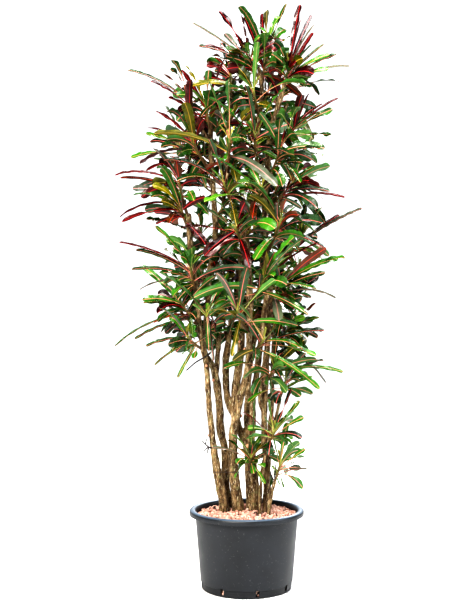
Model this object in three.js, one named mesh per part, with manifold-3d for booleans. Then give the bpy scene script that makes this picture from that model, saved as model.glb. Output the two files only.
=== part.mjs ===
// Potted croton: a tall bushy croton on woody canes, in a round nursery pot filled with baked clay granules.
// Units are millimetres. +Z is up, +X is to the viewer's right and +Y points away from the viewer.
// The origin is the middle of the pot's flat base.
import * as THREE from "three";
import { mergeVertices } from "three/addons/utils/BufferGeometryUtils.js";
import Module from "manifold-3d";

const wasm = await Module();
wasm.setup();

// ---- Driving dimensions ----

const seatGap = 0.3; // clearance between pieces that touch

const pot = {
  height: 245,
  baseRadius: 142,
  wallRadiusTop: 161.5, // outside of the wall, under the lip
  rimRadius: 180,
  wall: 3,
  lipHeight: 17, // depth of the skirt that hangs from the rim
  bandHeight: 22, // the narrower foot band
  bandStep: 1.6,
  sides: 32,
  slotCount: 8,
  slotWidth: 10.5,
  slotLow: 6,
  slotHigh: 25,
  slotTurn: 13, // degrees from the front to the first slot
};

const granules = {
  edgeHeight: 224, // level at the wall, about 20 mm under the rim
  moundRise: 14, // the middle stands higher than the edge
  grain: 5, // height of the bumps that the top layer makes
  rings: 6,
  sides: 32,
  holeDepth: 72, // how far the canes stand in the granules
};

const cane = { sides: 6 };

const tie = { height: 362, wire: 1.1, sides: 4, turns: 28 };

const stem = { sides: 4, rings: 3 };

const blade = {
  keel: 2.2, // thickness at the midrib
  petiole: 1.7, // half width where the leaf leaves its stem
};

const spacing = { cell: 6, step: 6, ownClear: 45 }; // free space that is kept between leaves

const goldenAngle = 2.399963;

// ---- Colours ----

const finishes = {
  potPlastic: { color: "#3e4246", roughness: 0.5, metalness: 0 },
  bakedClay: { color: "#c79a7f", roughness: 0.95, metalness: 0 },
  bark: { color: "#8a7350", roughness: 0.9, metalness: 0 },
  wire: { color: "#2b2724", roughness: 0.6, metalness: 0 },
  maroonLeaf: { color: "#4a1f24", roughness: 0.35, metalness: 0 },
  greenLeaf: { color: "#3f6b34", roughness: 0.35, metalness: 0 },
  freshLeaf: { color: "#5f9a3c", roughness: 0.35, metalness: 0 },
};

// ---- Solids and meshes ----

// A closed body as a geometry with shared corners, from rings of points that all have the same count.
function loft(rings, closedLoop = false) {
  const count = rings[0].length;
  const points = rings.flat();
  const faces = [];
  const spans = closedLoop ? rings.length : rings.length - 1;
  for (let r = 0; r < spans; r += 1) {
    const low = r * count;
    const high = ((r + 1) % rings.length) * count;
    for (let i = 0; i < count; i += 1) {
      const j = (i + 1) % count;
      faces.push(low + i, low + j, high + j, low + i, high + j, high + i);
    }
  }
  if (!closedLoop) {
    const top = (rings.length - 1) * count;
    for (let i = 1; i < count - 1; i += 1) {
      faces.push(0, i + 1, i, top, top + i, top + i + 1);
    }
  }
  return bodyGeometry(points, faces);
}

function bodyGeometry(points, faces) {
  const geometry = new THREE.BufferGeometry();
  geometry.setFromPoints(points);
  geometry.setIndex(faces);
  return geometry;
}

// The solid that a closed geometry bounds, for joining and cutting.
function solid(geometry) {
  const bare = geometry.clone();
  bare.deleteAttribute("normal");
  bare.deleteAttribute("uv");
  const merged = mergeVertices(bare, 1e-3);
  return new wasm.Manifold(
    new wasm.Mesh({
      numProp: 3,
      vertProperties: merged.attributes.position.array,
      triVerts: new Uint32Array(merged.index.array),
    }),
  );
}

function toMesh(name, body, finish) {
  const data = body.getMesh();
  const points = new Float32Array(data.numVert * 3);
  for (let i = 0; i < data.numVert; i += 1) {
    const from = i * data.numProp;
    points.set(data.vertProperties.subarray(from, from + 3), i * 3);
  }
  const geometry = new THREE.BufferGeometry();
  geometry.setAttribute("position", new THREE.BufferAttribute(points, 3));
  geometry.setIndex(new THREE.BufferAttribute(data.triVerts, 1));
  geometry.computeVertexNormals();
  const mesh = new THREE.Mesh(geometry, new THREE.MeshStandardMaterial(finish));
  mesh.name = name;
  return mesh;
}

// A turned body: the profile is (radius, height) pairs and starts and ends on the axis.
function turned(profile, sides) {
  const outline = profile.map(([radius, height]) => new THREE.Vector2(radius, height));
  return new THREE.LatheGeometry(outline, sides).rotateX(Math.PI / 2);
}

// A seeded source of numbers from 0 to 1, so that every build grows the same plant.
function seeded(seed) {
  let state = seed >>> 0;
  return () => {
    state = (state + 0x6d2b79f5) >>> 0;
    let t = state;
    t = Math.imul(t ^ (t >>> 15), t | 1);
    t ^= t + Math.imul(t ^ (t >>> 7), t | 61);
    return ((t ^ (t >>> 14)) >>> 0) / 4294967296;
  };
}

const vec = (point) => new THREE.Vector3(point[0], point[1], point[2]);

// ---- Pot ----

function wallRadius(height) {
  return THREE.MathUtils.lerp(pot.baseRadius, pot.wallRadiusTop, height / (pot.height - pot.lipHeight));
}

function makePot() {
  const top = pot.height;
  const skirt = top - pot.lipHeight;
  const band = pot.bandHeight;
  const inside = pot.wallRadiusTop - pot.wall;
  const profile = [
    [0, 0],
    [pot.baseRadius - pot.bandStep - 2, 0],
    [pot.baseRadius - pot.bandStep, 2],
    [wallRadius(band) - pot.bandStep, band],
    [wallRadius(band), band + 2],
    [pot.wallRadiusTop, skirt],
    [pot.wallRadiusTop, top - 8],
    [pot.rimRadius - pot.wall, top - 8],
    [pot.rimRadius - pot.wall, skirt],
    [pot.rimRadius, skirt],
    [pot.rimRadius, top - 5],
    [pot.rimRadius - 4, top - 0.8],
    [pot.rimRadius - 9, top],
    [inside + 5, top - 1.2],
    [inside, top - 6],
    [inside - 0.4, skirt],
    [pot.baseRadius - pot.bandStep - pot.wall, pot.wall + 1],
    [0, pot.wall + 1],
  ];
  let body = solid(turned(profile, pot.sides));
  for (let i = 0; i < pot.slotCount; i += 1) {
    const height = pot.slotHigh - pot.slotLow;
    const slot = new THREE.BoxGeometry(pot.slotWidth, 16, height);
    slot.translate(0, -(pot.baseRadius - pot.wall / 2), pot.slotLow + height / 2);
    const turn = pot.slotTurn + (360 / pot.slotCount) * i;
    slot.rotateZ(THREE.MathUtils.degToRad(turn));
    body = body.subtract(solid(slot));
  }
  return toMesh("pot", body, finishes.potPlastic);
}

// ---- Canes ----

// Each cane is a list of branches. A branch is its centre line as [x, y, z, radius], and later branches
// start on an earlier one. The first point of the first branch is where the cane enters the granules.
const canes = {
  cane_left: [
    [
      [-70, 0, 246, 16], [-92, -5, 363, 13.5], [-106, -12, 461, 10.5], [-116, -18, 556, 9], [-120, -22, 615, 8.5],
      [-125, -28, 697, 8.5], [-137, -32, 756, 8.5], [-148, -34, 821, 8.5], [-154, -36, 899, 9],
      [-162, -40, 967, 9], [-175, -46, 1078, 9], [-180, -50, 1165, 9],
    ],
  ],
  cane_rear_left: [
    [
      [-51, 38, 245, 12], [-65, 34, 306, 12], [-70, 32, 427, 12], [-81, 28, 481, 12], [-87, 25, 575, 12],
      [-101, 20, 672, 11], [-127, 16, 722, 9], [-135, 14, 763, 8.5], [-125, 12, 855, 9], [-118, 16, 930, 9],
      [-118, 18, 984, 9], [-101, 22, 1057, 9], [-98, 24, 1098, 9], [-100, 24, 1158, 9], [-106, 20, 1259, 8.5],
      [-113, 12, 1387, 8], [-113, 10, 1453, 8],
    ],
    [
      [-97, 22, 655, 9], [-93, 34, 712, 8], [-89, 52, 770, 8], [-83, 82, 850, 8], [-79, 108, 925, 8],
      [-84, 130, 987, 7.5], [-80, 150, 1080, 7.5], [-77, 164, 1190, 7], [-67, 166, 1328, 6],
    ],
  ],
  cane_middle: [
    [
      [-26, -2, 246, 19], [-35, -3, 312, 17], [-43, -7, 398, 15], [-42, -12, 483, 13], [-30, -17, 545, 12.5],
      [-18, -22, 606, 12], [-2, -27, 655, 11], [4, -31, 706, 10], [7, -36, 775, 9.5], [9, -37, 845, 10],
      [9, -35, 920, 11], [5, -35, 990, 11], [-4, -40, 1104, 10.5],
    ],
    [
      [-2, -39, 1085, 9], [6, -42, 1141, 8.5], [10, -42, 1181, 8.5], [29, -34, 1272, 8], [34, -18, 1399, 8],
      [47, -8, 1538, 7.5], [45, -8, 1588, 7], [37, -10, 1628, 6.5],
    ],
    [
      [-3, -39, 1090, 8.5], [-20, -47, 1130, 8], [-38, -55, 1180, 7.5], [-52, -58, 1225, 7.5],
      [-59, -45, 1310, 7], [-55, -10, 1431, 6.5], [-46, 20, 1547, 6],
    ],
    [[1, -29, 668, 7.5], [21, -44, 692, 6]],
  ],
  cane_fork: [
    [[20, 14, 250, 22], [18, 12, 310, 21], [14, 10, 370, 20], [10, 10, 432, 18]],
    [
      [12, 9, 412, 11.5], [17, 5, 474, 11], [19, 2, 538, 10.5], [20, -2, 601, 10], [32, -8, 674, 9.5],
      [40, -16, 745, 9.5], [48, -24, 800, 9.5], [58, -30, 865, 10], [62, -32, 899, 10], [70, -34, 926, 9.5],
    ],
    [
      [8, 11, 414, 11], [-17, 24, 479, 11], [-36, 38, 525, 11], [-54, 50, 565, 11], [-64, 58, 610, 11],
      [-67, 68, 691, 11], [-60, 78, 750, 10], [-48, 96, 828, 9], [-33, 114, 905, 8.5], [-26, 135, 997, 8],
      [-10, 150, 1096, 7.5], [9, 158, 1212, 7], [17, 158, 1344, 6.5], [12, 150, 1474, 6],
    ],
    [
      [-30, 34, 515, 9], [-38, 42, 575, 12], [-27, 48, 670, 13], [-19, 50, 735, 12], [-16, 52, 820, 10.5],
      [-18, 54, 905, 10], [-17, 55, 966, 9.5], [-11, 60, 1043, 9],
    ],
    [
      [10, 11, 420, 9], [1, 26, 481, 9], [1, 36, 544, 9], [4, 48, 610, 8.5], [12, 66, 690, 8.5],
      [27, 90, 780, 8], [41, 117, 899, 8], [52, 140, 1024, 7.5], [66, 156, 1140, 7],
    ],
  ],
  cane_thin: [
    [
      [40, -47, 246, 5.5], [43, -48, 320, 5.5], [49, -49, 380, 5.5], [59, -49, 430, 5], [72, -47, 475, 5],
      [88, -42, 525, 5], [99, -36, 570, 4.6], [108, -30, 613, 4.4],
    ],
  ],
  cane_right: [
    [
      [61, -18, 246, 12], [62, -20, 317, 11], [63, -22, 376, 10], [57, -22, 435, 10], [55, -22, 500, 9.5],
      [55, -20, 560, 9.5], [57, -18, 615, 9.5], [61, -14, 690, 9.5], [66, -4, 774, 9.5], [72, 6, 842, 9.5],
      [76, 12, 900, 9.5], [69, 16, 978, 9], [56, 13, 1041, 9], [52, 10, 1100, 9], [58, 4, 1213, 8.5],
      [64, 0, 1300, 8.5], [69, -2, 1370, 8.5], [75, -4, 1432, 8], [95, -6, 1494, 8], [118, -8, 1572, 7.5],
    ],
    [[55, -21, 536, 6.5], [42, -36, 585, 6], [43, -46, 635, 6], [52, -55, 695, 5.5], [57, -61, 739, 5]],
    [[68, -2, 1360, 6.5], [86, 14, 1419, 6.5], [106, 26, 1475, 6], [130, 32, 1521, 5.5]],
  ],
  cane_low: [[[68, -52, 245, 5.5], [72, -52, 275, 5.5], [78, -51, 305, 5], [88, -50, 344, 5]]],
  cane_rear_right: [
    [
      [71, 50, 245, 9], [70, 50, 325, 8.5], [71, 50, 421, 8], [76, 50, 500, 7.5], [82, 50, 567, 7],
      [82, 51, 640, 7], [85, 56, 715, 7], [90, 62, 790, 7.5], [101, 70, 880, 8], [111, 75, 970, 8],
      [112, 76, 1040, 8], [108, 76, 1120, 7.5], [109, 74, 1198, 7.5], [113, 72, 1252, 7],
    ],
  ],
};

// A ring of points round a centre, square to a direction, with its first point towards +X.
function ringAt(centre, direction, radius, sides) {
  const across = new THREE.Vector3(0, 1, 0).cross(direction).normalize();
  const other = direction.clone().cross(across).normalize();
  return Array.from({ length: sides }, (_, i) => {
    const angle = (2 * Math.PI * i) / sides;
    return centre
      .clone()
      .addScaledVector(across, radius * Math.cos(angle))
      .addScaledVector(other, radius * Math.sin(angle));
  });
}

// A tapered, slightly bent round body along [x, y, z, radius] points.
function limb(points, sides, extra = 0) {
  const rings = points.map((point, i) => {
    const before = vec(points[Math.max(i - 1, 0)]);
    const after = vec(points[Math.min(i + 1, points.length - 1)]);
    return ringAt(vec(point), after.sub(before).normalize(), point[3] + extra, sides);
  });
  return loft(rings);
}

// The straight foot of a cane, down inside its hole.
function footOf(branch) {
  const [x, y, z, radius] = branch[0];
  return [[x, y, z - granules.holeDepth, radius], [x, y, z, radius]];
}

function caneBody(branches, extra = 0) {
  const first = [footOf(branches[0])[0], ...branches[0]];
  return branches.slice(1).reduce(
    (body, branch) => body.add(solid(limb(branch, cane.sides, extra))),
    solid(limb(first, cane.sides, extra)),
  );
}

// The point and radius of a cane's centre line at a height, on the branch with that index.
function caneAt(name, branchIndex, height) {
  const branch = canes[name][branchIndex];
  let i = 1;
  while (i < branch.length - 1 && branch[i][2] < height) {
    i += 1;
  }
  const t = THREE.MathUtils.clamp((height - branch[i - 1][2]) / (branch[i][2] - branch[i - 1][2]), 0, 1);
  const mixed = branch[i].map((value, k) => THREE.MathUtils.lerp(branch[i - 1][k], value, t));
  return { point: vec(mixed), radius: mixed[3] };
}

// ---- Clay granules ----

// Height of the granule bed: a low mound with the bumps of its top layer.
function bedHeight(x, y) {
  const outward = Math.hypot(x, y) / pot.wallRadiusTop;
  const bumps = Math.sin(x * 0.27 + 1.3) * Math.cos(y * 0.24) + Math.sin((x + y) * 0.13) * Math.cos((x - y) * 0.17);
  return granules.edgeHeight + granules.moundRise * (1 - outward * outward) + (granules.grain / 2) * bumps;
}

function makeGranules() {
  const outer = pot.wallRadiusTop - pot.wall - seatGap;
  const levelRadius = (height) =>
    THREE.MathUtils.lerp(
      pot.baseRadius - pot.bandStep - pot.wall,
      outer,
      (height - pot.wall - 1) / (pot.height - pot.lipHeight - pot.wall - 1),
    ) - seatGap - 0.5;
  const sides = granules.sides;
  const floor = pot.wall + 1 + seatGap;
  const points = [new THREE.Vector3(0, 0, floor), new THREE.Vector3(0, 0, bedHeight(0, 0))];
  const faces = [];
  const ringPoint = (radius, i, height) => {
    const angle = (2 * Math.PI * i) / sides;
    const x = radius * Math.cos(angle);
    const y = radius * Math.sin(angle);
    return new THREE.Vector3(x, y, height ?? bedHeight(x, y));
  };
  const start = points.length;
  for (let i = 0; i < sides; i += 1) {
    points.push(ringPoint(levelRadius(floor), i, floor));
  }
  for (let ring = granules.rings; ring >= 1; ring -= 1) {
    const radius = (levelRadius(granules.edgeHeight - 6) * ring) / granules.rings;
    for (let i = 0; i < sides; i += 1) {
      points.push(ringPoint(radius, i));
    }
  }
  const last = start + granules.rings * sides;
  for (let i = 0; i < sides; i += 1) {
    const j = (i + 1) % sides;
    faces.push(0, start + j, start + i);
    faces.push(1, last + i, last + j);
    for (let ring = 0; ring < granules.rings; ring += 1) {
      const low = start + ring * sides;
      const high = low + sides;
      faces.push(low + i, low + j, high + j, low + i, high + j, high + i);
    }
  }
  let body = solid(bodyGeometry(points, faces));
  for (const branches of Object.values(canes)) {
    const [foot, mouth] = footOf(branches[0]);
    const hole = [
      [foot[0], foot[1], foot[2] - seatGap, foot[3]],
      [mouth[0], mouth[1], mouth[2] + 40, mouth[3]],
    ];
    body = body.subtract(solid(limb(hole, cane.sides, seatGap + 0.6)));
  }
  return toMesh("clay_granules", body, finishes.bakedClay);
}

// ---- Tie wire ----

// The convex outline round a set of flat points, anticlockwise.
function outlineRound(points) {
  const sorted = [...points].sort((a, b) => a.x - b.x || a.y - b.y);
  const half = (list) =>
    list.reduce((chain, p) => {
      const turnsIn = (a, b) => b.clone().sub(a).cross(p.clone().sub(b)) <= 0;
      while (chain.length > 1 && turnsIn(chain.at(-2), chain.at(-1))) {
        chain.pop();
      }
      chain.push(p);
      return chain;
    }, []);
  return [...half(sorted).slice(0, -1), ...half(sorted.reverse()).slice(0, -1)];
}

// One loop of thin wire, drawn round the canes that it gathers.
function makeTie() {
  const held = [["cane_left", 0], ["cane_rear_left", 0], ["cane_middle", 0], ["cane_fork", 0]];
  const touching = held.flatMap(([name, branch]) => {
    const { point, radius } = caneAt(name, branch, tie.height);
    const reach = radius + tie.wire + seatGap + 0.6;
    return Array.from({ length: 24 }, (_, i) => {
      const angle = (2 * Math.PI * i) / 24;
      return new THREE.Vector2(point.x + reach * Math.cos(angle), point.y + reach * Math.sin(angle));
    });
  });
  const hull = outlineRound(touching).map((p) => new THREE.Vector3(p.x, p.y, tie.height));
  const route = new THREE.CatmullRomCurve3(hull, true, "centripetal");
  const centres = route.getSpacedPoints(tie.turns).slice(0, -1);
  const rings = centres.map((centre, i) => {
    const before = centres[(i + centres.length - 1) % centres.length];
    const along = centres[(i + 1) % centres.length].clone().sub(before).normalize();
    const outward = along.clone().cross(new THREE.Vector3(0, 0, 1));
    return Array.from({ length: tie.sides }, (_, k) => {
      const angle = (2 * Math.PI * k) / tie.sides;
      return centre
        .clone()
        .addScaledVector(outward, tie.wire * Math.cos(angle))
        .sub(new THREE.Vector3(0, 0, tie.wire * Math.sin(angle)));
    });
  });
  return toMesh("tie_wire", solid(loft(rings, true)), finishes.wire);
}

// ---- Free space between the pieces ----

// The space is divided into cubic cells. A cell near a piece holds that piece's number, or 0 near several.
const taken = new Map();

function cellKey(ix, iy, iz) {
  return (ix + 512) * 1048576 + (iy + 512) * 1024 + (iz + 512);
}

function cellIndex(point) {
  return [point.x, point.y, point.z].map((value) => Math.floor(value / spacing.cell));
}

function claim(point, owner) {
  const [ix, iy, iz] = cellIndex(point);
  for (let dx = -1; dx <= 1; dx += 1) {
    for (let dy = -1; dy <= 1; dy += 1) {
      for (let dz = -1; dz <= 1; dz += 1) {
        const key = cellKey(ix + dx, iy + dy, iz + dz);
        const held = taken.get(key);
        taken.set(key, held === undefined || held === owner ? owner : 0);
      }
    }
  }
}

function isFree(point, owner) {
  const held = taken.get(cellKey(...cellIndex(point)));
  return held === undefined || held === owner;
}

// Claims the surface of a limb, from its [x, y, z, radius] points.
function claimLimb(points, owner) {
  for (let i = 1; i < points.length; i += 1) {
    const from = vec(points[i - 1]);
    const to = vec(points[i]);
    const direction = to.clone().sub(from).normalize();
    const steps = Math.ceil(from.distanceTo(to) / 8);
    for (let k = 0; k <= steps; k += 1) {
      const centre = from.clone().lerp(to, k / steps);
      const radius = THREE.MathUtils.lerp(points[i - 1][3], points[i][3], k / steps);
      ringAt(centre, direction, radius, 8).forEach((point) => claim(point, owner));
    }
  }
}

// ---- Leaves ----

// How wide a leaf of each form is along its length, as [place, share of the full width].
const forms = {
  strap: {
    outline: [[0, 0.05], [0.08, 0.14], [0.28, 0.82], [0.52, 1], [0.82, 0.74], [0.95, 0.34], [1, 0]],
    stations: [0, 0.28, 0.74, 1],
  },
  spoon: {
    outline: [[0, 0.05], [0.1, 0.1], [0.46, 0.16], [0.6, 0.42], [0.74, 0.95], [0.88, 1], [0.97, 0.55], [1, 0]],
    stations: [0, 0.5, 0.8, 0.97, 1],
  },
  interrupted: {
    outline: [
      [0, 0.05], [0.07, 0.12], [0.24, 0.86], [0.4, 0.82], [0.48, 0.12], [0.6, 0.1], [0.7, 0.8], [0.84, 1],
      [0.95, 0.6], [1, 0],
    ],
    stations: [0, 0.3, 0.5, 0.6, 0.84, 1],
  },
};

// Linear interpolation in a list of [place, value] pairs.
function valueAt(pairs, place) {
  let i = 1;
  while (i < pairs.length - 1 && pairs[i][0] < place) {
    i += 1;
  }
  const [fromPlace, fromValue] = pairs[i - 1];
  const [toPlace, toValue] = pairs[i];
  const t = Math.min(Math.max((place - fromPlace) / (toPlace - fromPlace), 0), 1);
  return fromValue + (toValue - fromValue) * t;
}

function halfWidth(leaf, place) {
  return Math.max(blade.petiole, (leaf.width / 2) * valueAt(forms[leaf.form].outline, place));
}

function bendPoint(from, control, to, t) {
  return from
    .clone()
    .multiplyScalar((1 - t) * (1 - t))
    .addScaledVector(control, 2 * t * (1 - t))
    .addScaledVector(to, t * t);
}

function bendDirection(from, control, to, t) {
  const start = control.clone().sub(from).multiplyScalar(1 - t);
  return start.addScaledVector(to.clone().sub(control), t).normalize();
}

// The leaf's midrib point, its sideways direction and its upper side's direction at a place along it.
function leafFrame(leaf, place) {
  const centre = bendPoint(leaf.base, leaf.control, leaf.tip, place);
  const along = bendDirection(leaf.base, leaf.control, leaf.tip, place);
  const level = new THREE.Vector3(-Math.sin(leaf.azimuth), Math.cos(leaf.azimuth), 0);
  const side = level.addScaledVector(along, -level.dot(along)).normalize();
  side.applyAxisAngle(along, leaf.roll + leaf.twist * place);
  return { centre, along, side, up: along.clone().cross(side).normalize() };
}

// One leaf as a closed body with a three-sided section: both margins and the keel of the midrib below.
function leafBody(leaf) {
  const stations = forms[leaf.form].stations;
  const frames = stations.map((place) => leafFrame(leaf, place));
  const points = [];
  frames.slice(0, -1).forEach((frame, i) => {
    const reach = halfWidth(leaf, stations[i]);
    points.push(
      frame.centre.clone().addScaledVector(frame.side, -reach),
      frame.centre.clone().addScaledVector(frame.up, -blade.keel),
      frame.centre.clone().addScaledVector(frame.side, reach),
    );
  });
  points.push(frames.at(-1).centre);
  const [right, keel, left] = [0, 1, 2];
  const faces = [right, left, keel];
  for (let i = 0; i < frames.length - 2; i += 1) {
    const a = 3 * i;
    const b = a + 3;
    const turnsUp = frames[i].side.clone().sub(frames[i + 1].side).dot(frames[i].up) >= 0;
    for (const [from, to] of [[right, keel], [keel, left], [left, right]]) {
      const forward = (from === left) === turnsUp; // both faces are split along the same diagonal
      if (forward) {
        faces.push(a + from, a + to, b + to, a + from, b + to, b + from);
      } else {
        faces.push(a + from, a + to, b + from, a + to, b + to, b + from);
      }
    }
  }
  const last = 3 * (frames.length - 2);
  const tip = last + 3;
  faces.push(last + right, last + keel, tip, last + keel, last + left, tip, last + left, last + right, tip);
  return bodyGeometry(points, faces);
}

// Points all over a leaf, each with its distance from the leaf's base.
function leafSamples(leaf) {
  const length = leaf.base.distanceTo(leaf.control) + leaf.control.distanceTo(leaf.tip);
  const steps = Math.ceil(length / spacing.step);
  const samples = [];
  for (let i = 1; i <= steps; i += 1) {
    const { centre, side } = leafFrame(leaf, i / steps);
    const reach = halfWidth(leaf, i / steps);
    const across = reach > 7 ? [-1, -0.5, 0, 0.5, 1] : [-1, 0, 1];
    across.forEach((share) => {
      samples.push({ point: centre.clone().addScaledVector(side, reach * share), from: (i / steps) * length });
    });
  }
  return samples;
}

// Whether a leaf keeps clear of other pieces, and of its own shoot's leaves past their crowded bases.
function leafFits(leaf, shoot) {
  return leafSamples(leaf).every(({ point, from }) => {
    const crossesOwn = from > spacing.ownClear && shoot.ownCells.has(cellKey(...cellIndex(point)));
    return isFree(point, shoot.owner) && !crossesOwn;
  });
}

function claimLeaf(leaf, shoot) {
  leafSamples(leaf).forEach(({ point, from }) => {
    claim(point, shoot.owner);
    if (from > spacing.ownClear) {
      shoot.ownCells.add(cellKey(...cellIndex(point)));
    }
  });
}

// ---- Where the leafy shoots grow ----

// The crown's outline as [height, middle in X, reach]: placed leaves keep inside it, all the way round.
const crown = [
  [360, 60, 130], [560, 60, 140], [660, 30, 210], [760, -10, 285], [900, -25, 300], [1100, -25, 310],
  [1280, -50, 330], [1450, -30, 310], [1600, 10, 290], [1740, 45, 200], [1838, 40, 120],
];

// Each leafy shoot: the cane and branch it grows from, the height it leaves at, its tip [x, y, z], how many
// leaves it carries, their usual length, and which mix of leaf tones it has.
const shoots = {
  top_left: ["cane_middle", 1, 1585, [5, -22, 1655], 11, 150, "red"],
  top_middle: ["cane_middle", 1, 1560, [62, 34, 1690], 8, 150, "red"],
  top_right: ["cane_right", 0, 1545, [133, -14, 1630], 14, 150, "red"],
  top_rear: ["cane_right", 2, 1480, [92, 92, 1580], 6, 160, "mixed"],
  high_left: ["cane_middle", 2, 1515, [-50, 36, 1622], 6, 160, "red"],
  high_front: ["cane_middle", 1, 1470, [20, -95, 1540], 6, 150, "mixed"],
  upper_left_a: ["cane_rear_left", 0, 1425, [-128, -10, 1512], 7, 165, "red"],
  upper_left_b: ["cane_rear_left", 0, 1395, [-188, 50, 1552], 6, 165, "red"],
  upper_left_c: ["cane_rear_left", 0, 1300, [-176, -72, 1408], 6, 165, "red"],
  upper_left_d: ["cane_rear_left", 0, 1270, [-212, 62, 1396], 6, 165, "red"],
  upper_left_f: ["cane_left", 0, 1150, [-216, 8, 1288], 6, 170, "red"],
  upper_left_g: ["cane_left", 0, 1110, [-208, -66, 1200], 7, 170, "red"],
  upper_front_a: ["cane_middle", 2, 1290, [-52, -140, 1385], 6, 160, "mixed"],
  upper_front_b: ["cane_middle", 2, 1185, [-70, -140, 1255], 6, 165, "mixed"],
  upper_front_c: ["cane_middle", 1, 1320, [22, -130, 1400], 6, 160, "mixed"],
  upper_front_d: ["cane_middle", 0, 1060, [-36, -160, 1120], 6, 170, "red"],
  upper_front_e: ["cane_middle", 1, 1165, [44, -165, 1235], 6, 170, "mixed"],
  upper_rear_a: ["cane_rear_left", 1, 1260, [-84, 130, 1440], 5, 170, "mixed"],
  upper_rear_b: ["cane_fork", 2, 1400, [4, 190, 1500], 6, 170, "mixed"],
  upper_rear_c: ["cane_fork", 2, 1270, [70, 190, 1385], 5, 170, "mixed"],
  upper_rear_d: ["cane_rear_left", 1, 1225, [-140, 175, 1315], 5, 170, "green"],
  upper_right_a: ["cane_right", 2, 1385, [158, 20, 1445], 10, 150, "green"],
  upper_right_b: ["cane_right", 0, 1270, [104, -96, 1365], 6, 165, "mixed"],
  upper_right_c: ["cane_rear_right", 0, 1225, [158, 110, 1330], 6, 165, "green"],
  upper_right_d: ["cane_right", 0, 1180, [148, -32, 1272], 6, 165, "mixed"],
  middle_right_a: ["cane_right", 0, 1040, [102, -128, 1140], 7, 170, "mixed"],
  middle_right_b: ["cane_rear_right", 0, 1010, [176, 20, 1108], 6, 170, "green"],
  middle_right_c: ["cane_rear_right", 0, 900, [172, 120, 1000], 6, 175, "green"],
  middle_right_d: ["cane_fork", 1, 880, [108, -70, 950], 7, 160, "green"],
  middle_rear_a: ["cane_fork", 4, 1080, [84, 210, 1180], 5, 175, "mixed"],
  middle_rear_b: ["cane_rear_left", 1, 1010, [-150, 150, 1120], 5, 175, "green"],
  middle_rear_c: ["cane_fork", 2, 1060, [-6, 215, 1130], 5, 175, "green"],
  middle_rear_d: ["cane_rear_left", 1, 880, [-110, 180, 980], 6, 175, "green"],
  middle_front_a: ["cane_middle", 0, 890, [50, -165, 965], 7, 165, "green"],
  middle_front_b: ["cane_middle", 0, 800, [-30, -165, 872], 6, 150, "green"],
  middle_left_a: ["cane_left", 0, 920, [-172, -92, 1002], 10, 150, "green"],
  middle_left_b: ["cane_left", 0, 830, [-212, -24, 898], 6, 160, "green"],
  middle_left_c: ["cane_rear_left", 0, 800, [-216, 60, 868], 6, 165, "green"],
  lower_left: ["cane_left", 0, 745, [-186, -62, 790], 6, 140, "green"],
  lower_front_left: ["cane_rear_left", 0, 900, [-122, -126, 850], 6, 150, "green"],
  lower_front: ["cane_middle", 0, 735, [52, -138, 782], 7, 150, "green"],
  lower_right_a: ["cane_rear_right", 0, 760, [140, 30, 815], 7, 155, "green"],
  lower_right_b: ["cane_fork", 4, 790, [90, 140, 850], 6, 165, "green"],
  lower_right_c: ["cane_right", 0, 640, [84, -72, 695], 6, 150, "green"],
  lower_rear: ["cane_fork", 2, 760, [-80, 150, 850], 6, 160, "green"],
  lower_right_d: ["cane_thin", 0, 596, [122, -26, 650], 6, 130, "green"],
  low_shoot_a: ["cane_fork", 0, 385, [14, -58, 415], 9, 100, "fresh"],
  low_shoot_b: ["cane_thin", 0, 455, [86, -78, 500], 6, 100, "fresh"],
  low_shoot_c: ["cane_low", 0, 335, [104, -62, 402], 6, 95, "fresh"],
};

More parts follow.
